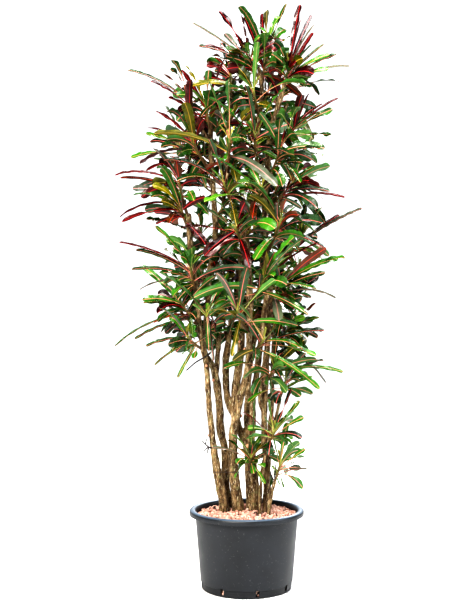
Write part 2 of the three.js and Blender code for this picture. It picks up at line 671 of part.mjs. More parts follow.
// Single leaves that stand out in the plant's outline, each by its tip [x, y, z], full width and form.
const outerLeaves = {
  top_left: [
    [[-80, 0, 1815], 26, "interrupted"],
    [[-20, -40, 1785], 20, "strap"],
    [[-170, -40, 1750], 12, "strap"],
    [[-70, 30, 1740], 22, "spoon"],
    [[-35, -60, 1720], 18, "strap"],
    [[-150, 0, 1705], 16, "strap"],
    [[-125, -50, 1695], 20, "strap"],
    [[-120, -20, 1655], 18, "strap"],
  ],
  top_middle: [
    [[125, 20, 1836], 18, "interrupted"],
    [[50, 60, 1815], 18, "strap"],
    [[0, 20, 1800], 18, "strap"],
  ],
  top_right: [
    [[165, -10, 1825], 22, "strap"],
    [[205, 20, 1805], 14, "strap"],
    [[165, -40, 1760], 20, "strap"],
    [[200, -20, 1760], 10, "strap"],
    [[210, 10, 1740], 16, "strap"],
    [[245, 10, 1700], 14, "strap"],
    [[195, -40, 1695], 24, "spoon"],
    [[255, -20, 1670], 18, "strap"],
    [[285, 20, 1670], 24, "spoon"],
    [[325, 0, 1640], 12, "strap"],
    [[255, -30, 1620], 20, "spoon"],
  ],
  upper_left_a: [
    [[-65, -40, 1645], 24, "strap"],
    [[-200, -20, 1620], 20, "strap"],
    [[-265, -20, 1610], 18, "spoon"],
    [[-300, 10, 1595], 20, "spoon"],
  ],
  upper_left_b: [
    [[-375, 30, 1635], 12, "strap"],
    [[-245, 0, 1535], 20, "strap"],
  ],
  upper_left_c: [
    [[-275, -90, 1480], 20, "strap"],
    [[-305, -60, 1440], 12, "strap"],
    [[-310, -80, 1405], 24, "spoon"],
  ],
  upper_left_d: [
    [[-315, 110, 1420], 18, "strap"],
    [[-370, 60, 1355], 22, "spoon"],
    [[-320, 20, 1315], 18, "strap"],
  ],
  upper_left_f: [
    [[-415, -10, 1300], 16, "strap"],
    [[-400, 30, 1285], 14, "strap"],
    [[-355, -30, 1245], 22, "spoon"],
  ],
  upper_left_g: [
    [[-405, -20, 1170], 14, "strap"],
    [[-385, -60, 1140], 22, "interrupted"],
    [[-275, -110, 1125], 18, "strap"],
    [[-125, -90, 1070], 26, "strap"],
  ],
  upper_front_d: [
    [[-115, -190, 1040], 26, "strap"],
    [[5, -200, 1000], 24, "strap"],
  ],
  upper_right_a: [
    [[195, 10, 1550], 12, "strap"],
    [[290, 30, 1540], 10, "strap"],
    [[235, 0, 1520], 10, "strap"],
    [[270, -10, 1495], 24, "spoon"],
    [[225, -30, 1490], 16, "strap"],
    [[275, 20, 1410], 24, "spoon"],
  ],
  upper_right_b: [
    [[235, -120, 1360], 30, "strap"],
    [[215, -140, 1355], 20, "spoon"],
    [[165, -150, 1310], 20, "strap"],
  ],
  upper_right_d: [
    [[210, -50, 1315], 18, "strap"],
    [[255, -60, 1230], 22, "strap"],
    [[305, -20, 1215], 12, "strap"],
  ],
  middle_right_a: [[[230, -150, 1055], 20, "strap"]],
  middle_right_b: [
    [[235, -40, 1185], 20, "strap"],
    [[365, 0, 1180], 16, "strap"],
    [[295, 40, 1170], 14, "strap"],
  ],
  middle_right_d: [
    [[300, -80, 1035], 30, "strap"],
    [[240, -90, 980], 20, "strap"],
    [[280, -60, 915], 10, "strap"],
    [[195, -110, 915], 22, "spoon"],
  ],
  middle_front_a: [
    [[205, -190, 1075], 10, "strap"],
    [[205, -180, 930], 24, "spoon"],
    [[180, -190, 855], 20, "strap"],
  ],
  middle_front_b: [[[-45, -150, 730], 16, "strap"]],
  middle_left_a: [
    [[-270, -110, 1125], 20, "strap"],
    [[-395, -30, 1070], 12, "strap"],
    [[-345, -60, 1060], 16, "strap"],
    [[-235, -130, 1040], 26, "spoon"],
    [[-355, -40, 990], 16, "strap"],
    [[-265, -110, 980], 24, "strap"],
    [[-340, -20, 940], 12, "strap"],
    [[-210, -110, 900], 20, "strap"],
  ],
  middle_left_b: [
    [[-325, -30, 900], 24, "strap"],
    [[-325, 10, 890], 18, "strap"],
    [[-290, -50, 835], 8, "strap"],
  ],
  middle_left_c: [
    [[-430, 60, 760], 12, "strap"],
    [[-355, 30, 775], 14, "strap"],
    [[-240, 20, 730], 18, "strap"],
  ],
  lower_left: [
    [[-310, -60, 755], 16, "strap"],
    [[-285, -90, 705], 10, "strap"],
    [[-210, -100, 665], 10, "strap"],
  ],
  lower_front_left: [
    [[-115, -120, 745], 14, "strap"],
    [[-100, -140, 715], 12, "strap"],
  ],
  lower_front: [
    [[165, -180, 760], 20, "strap"],
    [[205, -160, 730], 22, "spoon"],
    [[220, -140, 635], 18, "strap"],
  ],
  lower_right_a: [
    [[220, 0, 885], 18, "strap"],
    [[225, -30, 845], 20, "interrupted"],
    [[230, 60, 780], 18, "strap"],
    [[260, 40, 640], 10, "strap"],
  ],
  lower_right_c: [[[295, -80, 680], 16, "strap"]],
  lower_right_d: [
    [[70, -50, 705], 14, "strap"],
    [[205, -40, 660], 16, "strap"],
  ],
  low_shoot_a: [
    [[30, -90, 595], 12, "strap"],
    [[-15, -90, 465], 16, "strap"],
    [[55, -90, 465], 14, "strap"],
    [[-60, -70, 465], 20, "spoon"],
    [[-105, -60, 450], 12, "strap"],
    [[35, -100, 415], 16, "strap"],
    [[-25, -80, 395], 16, "strap"],
    [[20, -80, 370], 18, "strap"],
  ],
  low_shoot_b: [
    [[140, -70, 625], 20, "interrupted"],
    [[65, -90, 600], 20, "spoon"],
    [[165, -50, 585], 16, "strap"],
    [[-5, -100, 565], 10, "strap"],
    [[170, -80, 545], 20, "spoon"],
  ],
  low_shoot_c: [
    [[125, -70, 520], 20, "strap"],
    [[80, -90, 480], 16, "strap"],
    [[180, -60, 440], 20, "spoon"],
    [[85, -100, 390], 14, "strap"],
    [[190, -40, 375], 12, "strap"],
  ],
};

// The finish of each mix of leaf tones.
const mixFinishes = {
  red: finishes.maroonLeaf,
  mixed: finishes.greenLeaf,
  green: finishes.greenLeaf,
  fresh: finishes.freshLeaf,
};

// ---- Growing the shoots ----

function describeShoot(name, order) {
  const [caneName, branch, height, tipPoint, leaves, size, mix] = shoots[name];
  const { point: start, radius } = caneAt(caneName, branch, height);
  const tip = vec(tipPoint);
  const reach = tip.distanceTo(start);
  const control = start.clone().lerp(tip, 0.5);
  control.z -= 0.14 * reach; // the stem leaves the cane outward and then turns up
  const thick = Math.min(radius * 0.7, 3.6 + reach * 0.012);
  const outer = outerLeaves[name] ?? [];
  const outerSlots = outer.map((_, i) => Math.floor(((i + 0.5) * leaves) / outer.length));
  const random = seeded(977 + 31 * order);
  const turn = 2 * Math.PI * random();
  const own = { owner: 100 + order, ownCells: new Set(), placed: [] };
  return { name, caneName, start, control, tip, reach, thick, leaves, size, mix, outer, outerSlots, random, turn, ...own };
}

function stemPoints(shoot) {
  return Array.from({ length: stem.rings + 1 }, (_, i) => {
    const t = i / stem.rings;
    const centre = bendPoint(shoot.start, shoot.control, shoot.tip, t);
    return [centre.x, centre.y, centre.z, THREE.MathUtils.lerp(shoot.thick, 3.4, t)];
  });
}

// Where a leaf leaves its stem. Slot 0 is at the stem's tip, and the others follow evenly down it.
function leafBase(shoot, slot) {
  const back = 5 + (slot / shoot.leaves) * Math.min(shoot.reach * 0.62, 80);
  return bendPoint(shoot.start, shoot.control, shoot.tip, 1 - Math.min(back / shoot.reach, 0.8));
}

// A leaf rises from its base first, then bends over to its tip.
function makeLeaf(base, tip, lift, look) {
  const control = base.clone().lerp(tip, 0.5);
  control.z += lift * base.distanceTo(tip);
  return { base, control, tip, azimuth: Math.atan2(tip.y - base.y, tip.x - base.x), ...look };
}

// A leaf that stands out in the outline. Its tip is moved a little in depth until it is clear of the others.
function placeOuterLeaf(shoot, slot, spec) {
  const [tipPoint, width, form] = spec;
  const base = leafBase(shoot, slot);
  const faceViewer = Math.sign(tipPoint[0] - base.x) || 1;
  const roll = faceViewer * (0.75 + 0.4 * (shoot.random() - 0.5));
  const look = { width, form, roll, twist: 0.5 * (shoot.random() - 0.5) };
  const steep = Math.abs(tipPoint[2] - base.z) / vec(tipPoint).distanceTo(base);
  for (const shift of [0, -12, 12, -24, 24, -36, 36, -50, 50, -65, 65, -80, 80]) {
    const tip = vec(tipPoint);
    tip.y += shift;
    const leaf = makeLeaf(base, tip, 0.18 - 0.14 * steep, look);
    if (leafFits(leaf, shoot)) {
      return leaf;
    }
  }
  return null;
}

function insideCrown(point) {
  const reach = valueAt(crown.map(([height, , radius]) => [height, radius]), point.z);
  const dx = point.x - valueAt(crown.map(([height, middle]) => [height, middle]), point.z);
  return dx * dx + point.y * point.y <= reach * reach && point.z <= crown.at(-1)[0];
}

// A leaf placed by the growing rule: a spiral round the stem, upright near its tip and drooping lower down.
function placeSpiralLeaf(shoot, slot) {
  const random = shoot.random;
  const age = (slot + 0.5) / shoot.leaves;
  const size = shoot.size * (0.62 + 0.75 * Math.sin(Math.PI * (0.18 + 0.62 * age)) * (0.8 + 0.4 * random()));
  const draw = random();
  const form = draw < 0.72 ? "strap" : draw < 0.9 ? "spoon" : "interrupted";
  const width = 17 + 13 * random();
  const look = { width, form, roll: 2.2 * (random() - 0.5), twist: 1.6 * (random() - 0.5) };
  const base = leafBase(shoot, slot);
  for (let attempt = 0; attempt < 14; attempt += 1) {
    const azimuth = shoot.turn + goldenAngle * slot + 0.62 * attempt + 0.5 * (random() - 0.5);
    const pitch = THREE.MathUtils.lerp(1.05, -0.5, age) + 0.7 * (random() - 0.5);
    const length = size * (1 - 0.03 * attempt);
    const level = length * Math.cos(pitch);
    const tip = base.clone();
    tip.x += level * Math.cos(azimuth);
    tip.y += level * Math.sin(azimuth);
    tip.z += length * Math.sin(pitch);
    const leaf = makeLeaf(base, tip, 0.1 + 0.16 * random(), look);
    if (insideCrown(tip) && leafFits(leaf, shoot)) {
      return leaf;
    }
  }
  return null;
}

function keepLeaf(shoot, leaf) {
  if (leaf) {
    claimLeaf(leaf, shoot);
    shoot.placed.push(leaf);
  }
}

// Stems are claimed first, then the leaves of the outline, then the leaves placed by the rule.
function growShoots() {
  Object.values(canes).forEach((branches, order) => {
    branches.forEach((branch) => claimLimb(branch, order + 1));
  });
  const grown = Object.keys(shoots).map(describeShoot);
  grown.forEach((shoot) => claimLimb(stemPoints(shoot), shoot.owner));
  grown.forEach((shoot) => {
    shoot.outer.forEach((spec, i) => keepLeaf(shoot, placeOuterLeaf(shoot, shoot.outerSlots[i], spec)));
  });
  grown.forEach((shoot) => {
    for (let slot = 0; slot < shoot.leaves; slot += 1) {
      if (!shoot.outerSlots.includes(slot)) {
        keepLeaf(shoot, placeSpiralLeaf(shoot, slot));
      }
    }
  });
  return grown;
}

function makeShoot(shoot) {
  let body = solid(limb(stemPoints(shoot), stem.sides));
  for (const leaf of shoot.placed) {
    body = body.add(solid(leafBody(leaf)));
  }
  body = body.subtract(caneBody(canes[shoot.caneName], seatGap + 0.4));
  return toMesh(shoot.name, body, mixFinishes[shoot.mix]);
}

// ---- The plant ----

const group = new THREE.Group();
group.name = "potted_croton";
group.add(makePot(), makeGranules(), makeTie());
for (const [name, branches] of Object.entries(canes)) {
  group.add(toMesh(name, caneBody(branches), finishes.bark));
}
for (const shoot of growShoots()) {
  group.add(makeShoot(shoot));
}

export default group;
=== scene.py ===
# %% [markdown]
# # A potted croton
# The real plant is about 1.84 m tall: bare, mottled canes in a charcoal nursery pot of clay granules, with
# long glossy leaves in maroon, bronze and green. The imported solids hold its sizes. This script dresses
# them: the pot and canes get finer surfaces, the granules become loose stones, and every leaf becomes a
# thin blade with a rib, veins and a waved edge. Blender works in metres. The pot, the canes and the growing
# rule work in millimetres, as the plant's own solids do, and `mm` turns one into the other.

# %% Load the frame
import math

import bmesh
import bpy
import numpy as np
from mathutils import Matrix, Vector, noise


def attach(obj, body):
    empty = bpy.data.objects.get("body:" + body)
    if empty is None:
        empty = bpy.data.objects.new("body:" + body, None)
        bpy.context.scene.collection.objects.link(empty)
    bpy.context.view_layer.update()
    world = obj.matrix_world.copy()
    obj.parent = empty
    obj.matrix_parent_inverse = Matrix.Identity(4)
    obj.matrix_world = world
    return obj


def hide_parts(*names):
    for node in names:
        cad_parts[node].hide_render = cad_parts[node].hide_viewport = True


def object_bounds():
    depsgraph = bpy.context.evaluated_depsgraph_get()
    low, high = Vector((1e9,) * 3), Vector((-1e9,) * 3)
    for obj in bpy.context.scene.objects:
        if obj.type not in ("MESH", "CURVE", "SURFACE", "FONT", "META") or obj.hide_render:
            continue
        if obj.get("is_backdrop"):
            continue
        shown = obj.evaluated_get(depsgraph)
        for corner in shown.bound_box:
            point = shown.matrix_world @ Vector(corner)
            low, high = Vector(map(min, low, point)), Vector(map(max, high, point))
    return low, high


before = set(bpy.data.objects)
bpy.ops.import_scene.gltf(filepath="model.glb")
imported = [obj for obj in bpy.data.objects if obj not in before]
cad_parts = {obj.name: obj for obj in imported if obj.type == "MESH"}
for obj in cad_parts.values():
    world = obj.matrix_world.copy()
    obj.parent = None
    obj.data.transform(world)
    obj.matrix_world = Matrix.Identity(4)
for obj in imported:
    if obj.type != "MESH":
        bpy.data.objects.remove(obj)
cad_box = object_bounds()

mm = 0.001
low_corner, high_corner = (np.array(corner) for corner in cad_box)
print("solids:", len(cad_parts), "nodes, box in metres", (high_corner - low_corner).round(3))

# %% [markdown]
# ## Camera
# The plant is seen level, from the height of its middle, so its verticals stay upright and the pot's rim is
# a narrow ellipse. A camera that looks up or down could hold the plant as well, but its canes would lean.

# %% Camera
camera_place = (-0.0286, -3.19, 0.899)
camera_data = bpy.data.cameras.new("camera")
camera_data.lens = 60.96
camera_data.sensor_width = 36
camera = bpy.data.objects.new("camera", camera_data)
camera.location = camera_place
camera.rotation_euler = (math.radians(90), 0, 0)  # level, looking along +Y
bpy.context.scene.collection.objects.link(camera)
bpy.context.scene.camera = camera
print("camera", -camera_place[1], "m away, lens", round(camera_data.lens, 2), "mm")

# %% [markdown]
# ## Colours and shader nodes
# Colours are picked as sRGB hex values, as on a paint chart. A shader works on linear light, so one function
# turns them. Nodes could be added, set and linked in many lines. One small function does all of it for one
# node, so that a recipe reads as a list of steps. A pattern's scale is written as 1000 divided by its size
# in millimetres, because a texture counts in metres.


# %% Colours and nodes
def linear(colour):
    """An sRGB hex colour as the linear RGBA that a shader reads."""
    parts = [int(colour[i : i + 2], 16) / 255 for i in (1, 3, 5)]
    return [p / 12.92 if p <= 0.04045 else ((p + 0.055) / 1.055) ** 2.4 for p in parts] + [1.0]


def add_node(tree, kind, inputs=None, output=0, stops=(), **settings):
    """Adds one node with its settings, fills its inputs with values or links, and returns one output."""
    node = tree.nodes.new("ShaderNode" + kind)
    for name, value in settings.items():
        setattr(node, name, value)
    for i, (place, colour) in enumerate(stops):
        element = node.color_ramp.elements[i] if i < 2 else node.color_ramp.elements.new(place)
        element.position = place
        element.color = linear(colour)
    for name, value in (inputs or {}).items():
        if isinstance(value, bpy.types.NodeSocket):
            tree.links.new(value, node.inputs[name])
        else:
            node.inputs[name].default_value = linear(value) if isinstance(value, str) else value
    return node.outputs[output]


def start_material(name, **finish):
    """A material, its node tree and its Principled shader, whose plain values go on its own sockets."""
    material = bpy.data.materials.new(name)
    material.use_nodes = True
    tree = material.node_tree
    shader = tree.nodes["Principled BSDF"]
    for label, value in finish.items():
        shader.inputs[label.replace("_", " ")].default_value = value
    return material, tree, shader


def span(value, low, high, start=0.0, end=1.0):
    """The inputs of a map range node: a value from low..high becomes start..end."""
    return {"Value": value, "From Min": low, "From Max": high, "To Min": start, "To Max": end}


# Smooth steps, colour mixes and sums are wanted in every material, so their settings have short names.
step = {"interpolation_type": "SMOOTHSTEP"}
mix = {"data_type": "RGBA", "output": 2}
times, plus = {"operation": "MULTIPLY"}, {"operation": "ADD"}
print("half grey as linear light:", round(linear("#808080")[0], 3))

# %% [markdown]
# ## Floor, lamps and walls
# The light is that of a white studio: a large soft lamp from the front left, one above, a weaker one from
# the right, one behind, and pale walls. An image of a studio could light the plant too. Area lamps are used
# because each can be moved until its streaks lie on the leaves as they should. The ceiling is dimmer than
# the walls, so that the leaves' upper sides keep their deep colour and only the lamps shine in them.

# %% Floor
# Matt white paint, a little uneven, so that the pot's foot has a soft shadow and no reflection.
floor_paint, tree, shader = start_material("matt_white_floor_paint", Roughness=0.9)
cloud = add_node(tree, "TexNoise", {"Scale": 2.5})
tree.links.new(
    add_node(tree, "ValToRGB", {"Fac": cloud}, stops=[(0.3, "#f3f3f2"), (0.7, "#f7f7f6")]),
    shader.inputs["Base Color"],
)
floor_radius, floor_level, floor_sides = 3.5, -0.0005, 96
turns = np.linspace(0, 2 * math.pi, floor_sides + 1)[:-1]
floor_edge = [(floor_radius * math.cos(a), floor_radius * math.sin(a), floor_level) for a in turns]
floor_mesh = bpy.data.meshes.new("studio_floor")
floor_mesh.from_pydata(floor_edge, [], [range(floor_sides)])
floor_mesh.materials.append(floor_paint)
floor = bpy.data.objects.new("studio_floor", floor_mesh)
bpy.context.scene.collection.objects.link(floor)
floor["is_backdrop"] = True
print("floor:", 2 * floor_radius, "m across")

# %% Lamps
# Name, place, width, watts and colour. All of them are aimed a little above the middle of the plant.
lamps = (
    ("key_light", (-1.7, -3.0, 2.9), 1.5, 219, "#fffaf2"),
    ("top_light", (0.2, -1.0, 3.7), 1.3, 60, "#ffffff"),
    ("fill_light", (2.9, -1.2, 1.8), 1.6, 56, "#f2f7ff"),
    ("rear_light", (0.7, 3.0, 3.0), 1.9, 165, "#ffffff"),
)
lit_point = Vector((0, 0, 1.0))
for name, place, width, watts, colour in lamps:
    data = bpy.data.lights.new(name, "AREA")
    data.energy, data.size, data.color = watts, width, linear(colour)[:3]
    lamp = bpy.data.objects.new(name, data)
    lamp.location = place
    lamp.rotation_euler = (lit_point - Vector(place)).to_track_quat("-Z", "Y").to_euler()
    bpy.context.scene.collection.objects.link(lamp)
    print(name, watts, "W,", width, "m wide")

# %% Pale walls and a dimmer ceiling
# Directions that rise by less than 0.3 see the walls and the floor, and those past 0.44 see the ceiling.
wall_strength, ceiling_strength = 0.78, 0.05
world = bpy.data.worlds.new("white_studio")
world.use_nodes = True
tree = world.node_tree
direction = add_node(tree, "TexCoord", output="Generated")
rise = add_node(tree, "SeparateXYZ", {"Vector": direction}, output="Z")
brightness = add_node(tree, "MapRange", span(rise, 0.3, 0.44, wall_strength, ceiling_strength), **step)
background = tree.nodes["Background"]
background.inputs["Color"].default_value = linear("#fcfdff")
tree.links.new(brightness, background.inputs["Strength"])
bpy.context.scene.world = world
# A strong contrast gives deep gaps between the leaves and a clean white behind them.
view = bpy.context.scene.view_settings
view.view_transform, view.look = "Standard", "Very High Contrast"
print("walls", wall_strength, "and ceiling", ceiling_strength, "of full brightness")

# %% [markdown]
# ## Making pieces
# Every piece is a mesh of points and faces, which can be measured and fitted to the imported solids. It rides
# on the plant's one body, has its own materials, and hides the imported solids that it replaces.
# Some pieces also carry measures: a value at each point, such as the distance from a leaf's rib, that a
# material can read. An unwrapped image could tell a material the same, but measures need no image.


# %% Making pieces
def new_piece(name, points, faces, materials, replaces, face_materials=None, sharp=40, measures=None):
    """A mesh piece from points in metres. Edges sharper than `sharp` degrees stay crisp."""
    mesh = bpy.data.meshes.new(name)
    mesh.from_pydata([tuple(p) for p in points], [], [tuple(f) for f in faces])
    for material in materials:
        mesh.materials.append(material)
    if face_materials is not None:
        mesh.polygons.foreach_set("material_index", face_materials)
    mesh.polygons.foreach_set("use_smooth", [True] * len(mesh.polygons))
    mesh.set_sharp_from_angle(angle=math.radians(sharp))
    for label, values in (measures or {}).items():
        mesh.attributes.new(label, "FLOAT", "POINT").data.foreach_set("value", values)
    mesh.update()
    piece = bpy.data.objects.new(name, mesh)
    bpy.context.scene.collection.objects.link(piece)
    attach(piece, "root")
    if replaces:
        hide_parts(*replaces)
    return piece


# %% [markdown]
# ## The pot's plastic
# Nursery pots are moulded from recycled polypropylene, which is charcoal with pale chips of other plastic
# in it. A photograph of such plastic could be wrapped round the pot. Patterns that count in millimetres are
# used instead, because they have no seam, and can change with the level: painted shade at the foot, a painted
# sheen on the rim.

# %% Charcoal polypropylene
# Moulded polypropylene: satin and a little dusty on the wall, and polished by hands on the rim.
polypropylene, tree, shader = start_material("charcoal_polypropylene", Roughness=0.42, IOR=1.49)
point = add_node(tree, "TexCoord", output="Object")
level = add_node(tree, "SeparateXYZ", {"Vector": point}, output="Z")
dust = add_node(tree, "TexNoise", {"Vector": point, "Scale": 1000 / 60, "Detail": 5.0})
colour = add_node(tree, "ValToRGB", {"Fac": dust}, stops=[(0.3, "#1c1f23"), (0.7, "#25282d")])
# Pale pinhead specks under 1 mm, drawn at 1.5 mm so that they show.
chips = add_node(tree, "TexVoronoi", {"Vector": point, "Scale": 1000 / 3.6})
chip = add_node(tree, "MapRange", span(chips, 0.24, 0.14), **step)
few = add_node(tree, "TexNoise", {"Vector": point, "Scale": 1000 / 9, "Detail": 1.0})
few = add_node(tree, "MapRange", span(few, 0.55, 0.66, 0, 0.32), **step)
speck = add_node(tree, "Math", {0: chip, 1: few}, **times)
colour = add_node(tree, "Mix", {0: speck, 6: colour, 7: "#a9a79e"}, **mix)
# The foot band, where the wall turns in, is painted darker: painted shade in the recess. Levels are in
# metres, as in the mesh.
foot_shade = add_node(tree, "MapRange", span(level, 0.0245, 0.0215, 0, 0.6), **step)
colour = add_node(tree, "Mix", {0: foot_shade, 6: colour, 7: "#15171a"}, **mix)
# The rim's top is painted paler and bluer than the wall, as a painted sheen.
rim_sheen = add_node(tree, "MapRange", span(level, 0.2405, 0.2435, 0, 0.8), **step)
colour = add_node(tree, "Mix", {0: rim_sheen, 6: colour, 7: "#5f7081"}, **mix)
tree.links.new(colour, shader.inputs["Base Color"])
polish = add_node(tree, "MapRange", span(level, 0.225, 0.24, 0.46, 0.36), **step)
rough = add_node(tree, "MapRange", span(dust, 0.3, 0.7, -0.05, 0.07))
tree.links.new(add_node(tree, "Math", {0: polish, 1: rough}, **plus), shader.inputs["Roughness"])
# The mould leaves dimples about 1.8 mm across.
orange_peel = add_node(tree, "TexNoise", {"Vector": point, "Scale": 1000 / 1.8, "Detail": 3.0})
dimples = add_node(tree, "Bump", {"Height": orange_peel, "Distance": 0.12 * mm, "Strength": 0.5})
tree.links.new(dimples, shader.inputs["Normal"])
print(polypropylene.name + ":", len(tree.nodes), "nodes")

# %% [markdown]
# ## The pot
# The pot is one thin skin, with a rolled rim that turns out and down, eight drain slots, and a foot band a
# little narrower than the wall. A screw modifier on a drawn profile would turn the same skin. Here the
# profile is turned in code, because the slots then fall on the mesh's own columns and their edges stay
# crisp.

# %% The pot's sizes, in millimetres
pot_height, base_radius, wall_top, rim_radius, wall = 245, 142, 161.5, 180, 3
skirt_drop, band, band_step = 17, 22, 1.6  # how far the rim's skirt hangs, and the foot band
slots, slot_low, slot_high, slot_width = 8, 6, 25, 10.5
pot_floor, skirt_level, shelf_level = 4, pot_height - skirt_drop, pot_height - 8
inside, foot_radius = wall_top - wall, base_radius - band_step


def wall_radius(level):
    """The outside of the wall at a level, under the rim."""
    return base_radius + (wall_top - base_radius) * level / skirt_level


def inner_radius(level):
    """The inside of the wall at a level."""
    low = foot_radius - wall
    return low + (inside - low) * level / skirt_level


print("pot:", pot_height, "mm high, base", 2 * base_radius, "mm and rim", 2 * rim_radius, "mm across")


# %% The pot's half profile, as (radius, height) points
def soften(corners, cut, steps=4):
    """A line with its corners rounded. The cut is how far from a corner its arc starts."""
    line = [corners[0]]
    for before, corner, after in zip(corners, corners[1:], corners[2:]):
        a, p, b = (np.array(c, float) for c in (before, corner, after))
        start = p + (a - p) * min(cut / math.dist(a, p), 0.45)
        end = p + (b - p) * min(cut / math.dist(b, p), 0.45)
        for t in np.linspace(0, 1, steps):
            line.append(tuple((1 - t) ** 2 * start + 2 * t * (1 - t) * p + t * t * end))
    return line + [corners[-1]]


foot = soften([(0, 0), (foot_radius, 0), (foot_radius + 0.2, slot_low)], 2.2)[1:]
band_wall = [(wall_radius(z) - band_step, z) for z in (14, 20, band)]
outer_wall = [(wall_radius(z), z) for z in (band + 1.4, slot_high, 80, 150)]
rim_corners = [
    (wall_radius(190), 190), (wall_top, skirt_level), (wall_top, shelf_level),
    (rim_radius - wall, shelf_level), (rim_radius - wall, skirt_level), (rim_radius, skirt_level),
    (rim_radius, pot_height - 5), (rim_radius - 6, pot_height), (inside + 5, pot_height - 0.6),
    (inside, pot_height - 7), (inside - 0.4, skirt_level),
]
inner_wall = [(inner_radius(z), z) for z in (150, 80, slot_high, 20, 14, slot_low, pot_floor)]
profile = foot + band_wall + outer_wall + soften(rim_corners, 3.2) + inner_wall + [(60, pot_floor)]
print("pot profile:", len(profile), "points")

# %% The turned skin
# Every profile point stands in every column, and each slot has a column at both of its edges.
slot_turn = 360 / slots
first_slot = 13 - 90  # degrees from +X: the front slots stand a little right of the middle
half_slot = math.degrees(math.asin(slot_width / 2 / base_radius))
in_slot = [-half_slot, -0.4 * half_slot, 0.4 * half_slot, half_slot]
between_slots = list(np.linspace(5, 40, 13))
columns = [first_slot + slot_turn * k + turn for k in range(slots) for turn in in_slot + between_slots]
count, per_slot, slot_columns = len(columns), len(in_slot + between_slots), len(in_slot) - 1
points = [
    (radius * math.cos(math.radians(turn)), radius * math.sin(math.radians(turn)), height)
    for radius, height in profile for turn in columns
]
row_at = {}  # the profile's rows, by height and by whether they lie on the outside
for row, (radius, height) in enumerate(profile):
    row_at.setdefault((height, radius > inner_radius(height) + 1), row)
outer_low, outer_high = row_at[slot_low, True], row_at[slot_high, True]
inner_high, inner_low = row_at[slot_high, False], row_at[slot_low, False]
faces = []
for row in range(len(profile) - 1):
    beside_slot = outer_low <= row < outer_high or inner_high <= row < inner_low
    for column in range(count):
        if not (beside_slot and column % per_slot < slot_columns):
            a, b = row * count + column, row * count + (column + 1) % count
            faces.append((a, b, b + count, a + count))
print("pot skin:", len(faces), "faces before its slots and floors are closed")

# %% The slots' sides, the flat base and the flat floor
slot_rows = [*range(outer_low, outer_high + 1), *range(inner_high, inner_low + 1)]
for k in range(slots):
    first = per_slot * k
    for column, turned in ((first, False), (first + slot_columns, True)):
        ring = [row * count + column for row in slot_rows]
        faces.append(tuple(ring if turned else reversed(ring)))
    for column in range(first, first + slot_columns):
        for outer, inner, turned in ((outer_low, inner_low, True), (outer_high, inner_high, False)):
            a, b = outer * count + column, inner * count + column
            faces.append((a, a + 1, b + 1, b) if turned else (b, b + 1, a + 1, a))
base_middle, floor_middle, top = len(points), len(points) + 1, (len(profile) - 1) * count
for column in range(count):
    after = (column + 1) % count
    faces += [(after, column, base_middle), (top + column, top + after, floor_middle)]
points = np.array(points + [(0, 0, 0), (0, 0, pot_floor)])
new_piece("pot_moulding", points * mm, faces, [polypropylene], ["pot"], sharp=35)
print("pot, closed:", len(faces), "faces,", slots, "drain slots")

# %% [markdown]
# ## Where the canes run
# Old croton canes are woody and never quite straight: they lean, fork, and bend back towards the light. Each
# cane is a list of limbs, and each limb is a list of points along its middle. Drawn curves with a bevel could
# hold the same lines. Lists are used because the stones must keep clear of the canes, and the wire and the
# leafy shoots must start on them.

